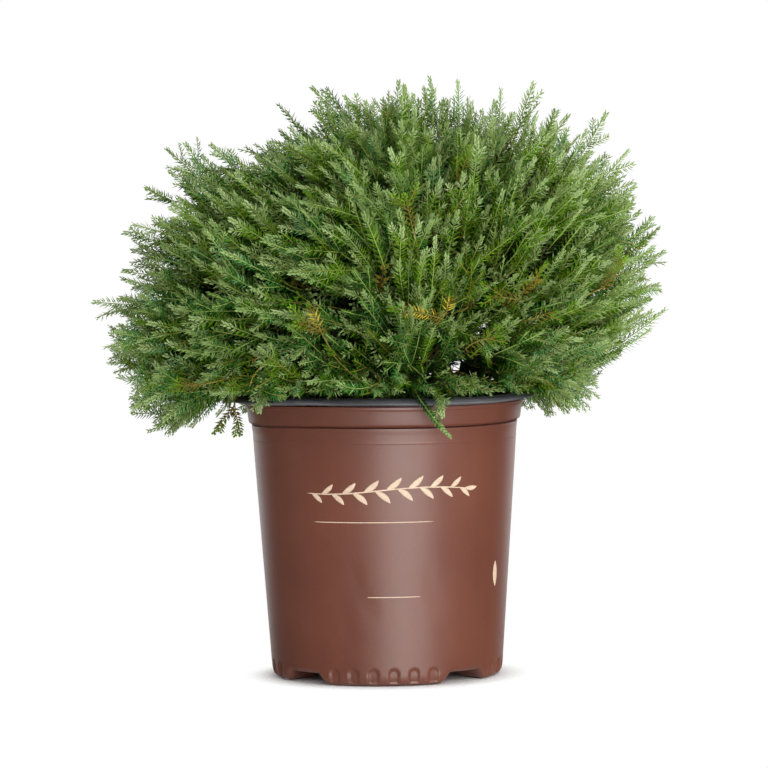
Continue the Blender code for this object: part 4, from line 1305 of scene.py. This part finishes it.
# Studio: pale floor, even white light, one soft tall light to the right of the viewer
studio = {
    "distance": 3.6, "height": 0.4293, "aim": (0.0, 0.0, 0.2413), "lens": 203.0, "sensor": 36.0,
    "roll": -0.7, "sightEnd": 60.0,
    "world": 0.155, "glossy": -0.06,    # shiny things mirror that much less of the world
    "floorHalf": 1.6, "floorHeight": -0.0004, "floorTones": ((248, 248, 247), (244, 244, 243)),
    "floorFade": (0.086, 0.120),        # the floor is whole up to here, and gone from there on
    # name, place, target, width, height, watts
    "lights": (("keyTall", (0.72, -2.30, 0.45), (0.0, 0.0, 0.20), 2.0, 2.8, 90.0),
               ("topSoft", (0.3, -0.5, 2.40), (0.0, 0.0, 0.30), 1.4, 1.4, 30.0),
               ("sideSoft", (2.6, -0.9, 0.55), (0.1, 0.0, 0.28), 1.6, 1.6, 36.0),
               ("leftSoft", (-2.6, -0.9, 0.62), (-0.1, 0.0, 0.28), 1.6, 1.6, 24.0),
               ("backSoft", (0.0, 3.20, 1.00), (0.0, 0.0, 0.30), 6.5, 3.0, 96.0)),
    "unmirrored": ("sideSoft", "leftSoft"),    # the pot doesn't mirror them
}


def lookAt(item, target, roll=0.0):
    # local -Z along the line of sight, then a turn about it
    course = Vector(target) - item.location
    turn = course.to_track_quat("-Z", "Y").to_matrix() @ Matrix.Rotation(np.radians(roll), 3, "Z")
    item.rotation_euler = turn.to_euler()


def layFloor():
    # a pale square that fades out round the pot
    corners = np.array(((-1, -1, 0), (1, -1, 0), (1, 1, 0), (-1, 1, 0))) * studio["floorHalf"]
    corners = corners + (0, 0, studio["floorHeight"])
    finish = Finish("paleFloor", {"Roughness": 0.9, "Specular IOR Level": 0.1})
    light, dim = (paint(*tone) for tone in studio["floorTones"])
    tone = finish.mix(finish.noise(finish.place(), 2.0).clamped(0.3, 0.7), light, dim)
    away = finish.add("ShaderNodeVectorMath", {"operation": "LENGTH"}, {0: finish.place()}, "Value")
    near, gone = studio["floorFade"]
    fade = finish.add("ShaderNodeMapRange", {"interpolation_type": "SMOOTHSTEP"},
                      {0: away, 1: near, 2: gone, 3: 1.0, 4: 0.0})
    # whole to light that bounces up from it
    bounced = finish.add("ShaderNodeLightPath", {}, {}, "Is Diffuse Ray")
    alpha = fade + bounced * (1 - fade)
    material = finish.feed(colour=tone, alpha=alpha)
    floor = putMesh("floor", corners, (np.array(((0, 1, 2, 3),)),), (material,), None)


def lightSky():
    # white to the camera, dim as a light
    sky = Sky("softWhite")
    seen = sky.add("ShaderNodeLightPath", {}, {}, "Is Camera Ray")
    mirrored = sky.add("ShaderNodeLightPath", {}, {}, "Is Glossy Ray")
    strength = studio["world"] + seen * (1 - studio["world"]) + mirrored * studio["glossy"]
    sky.tree.links.new(strength.socket, sky.tree.nodes["Background"].inputs["Strength"])


def hangLights():
    # rectangles of even light, each turned to its target
    for name, place, target, wide, tall, power in studio["lights"]:
        light = bpy.data.lights.new(name, "AREA")
        light.shape, light.size, light.size_y, light.energy = "RECTANGLE", wide, tall, power
        item = bpy.data.objects.new(name, light)
        item.location = place
        lookAt(item, target)
        item.visible_camera = False
        item.visible_glossy = name not in studio["unmirrored"]
        bpy.context.scene.collection.objects.link(item)


def placeCamera():
    # at its distance from the aim, straight in front of it
    camera = bpy.data.objects.new("photoCamera", bpy.data.cameras.new("photoCamera"))
    camera.data.lens, camera.data.sensor_width = studio["lens"], studio["sensor"]
    camera.data.clip_end = studio["sightEnd"]
    rise = studio["height"] - studio["aim"][2]
    camera.location = (studio["aim"][0], -np.sqrt(studio["distance"] ** 2 - rise ** 2), studio["height"])
    lookAt(camera, studio["aim"], studio["roll"])
    bpy.context.scene.collection.objects.link(camera)
    bpy.context.scene.camera = camera
    bpy.context.scene.view_settings.view_transform = "Standard"


layFloor()
lightSky()
hangLights()
placeCamera()
print("studio lit")

bpy.context.view_layer.update()
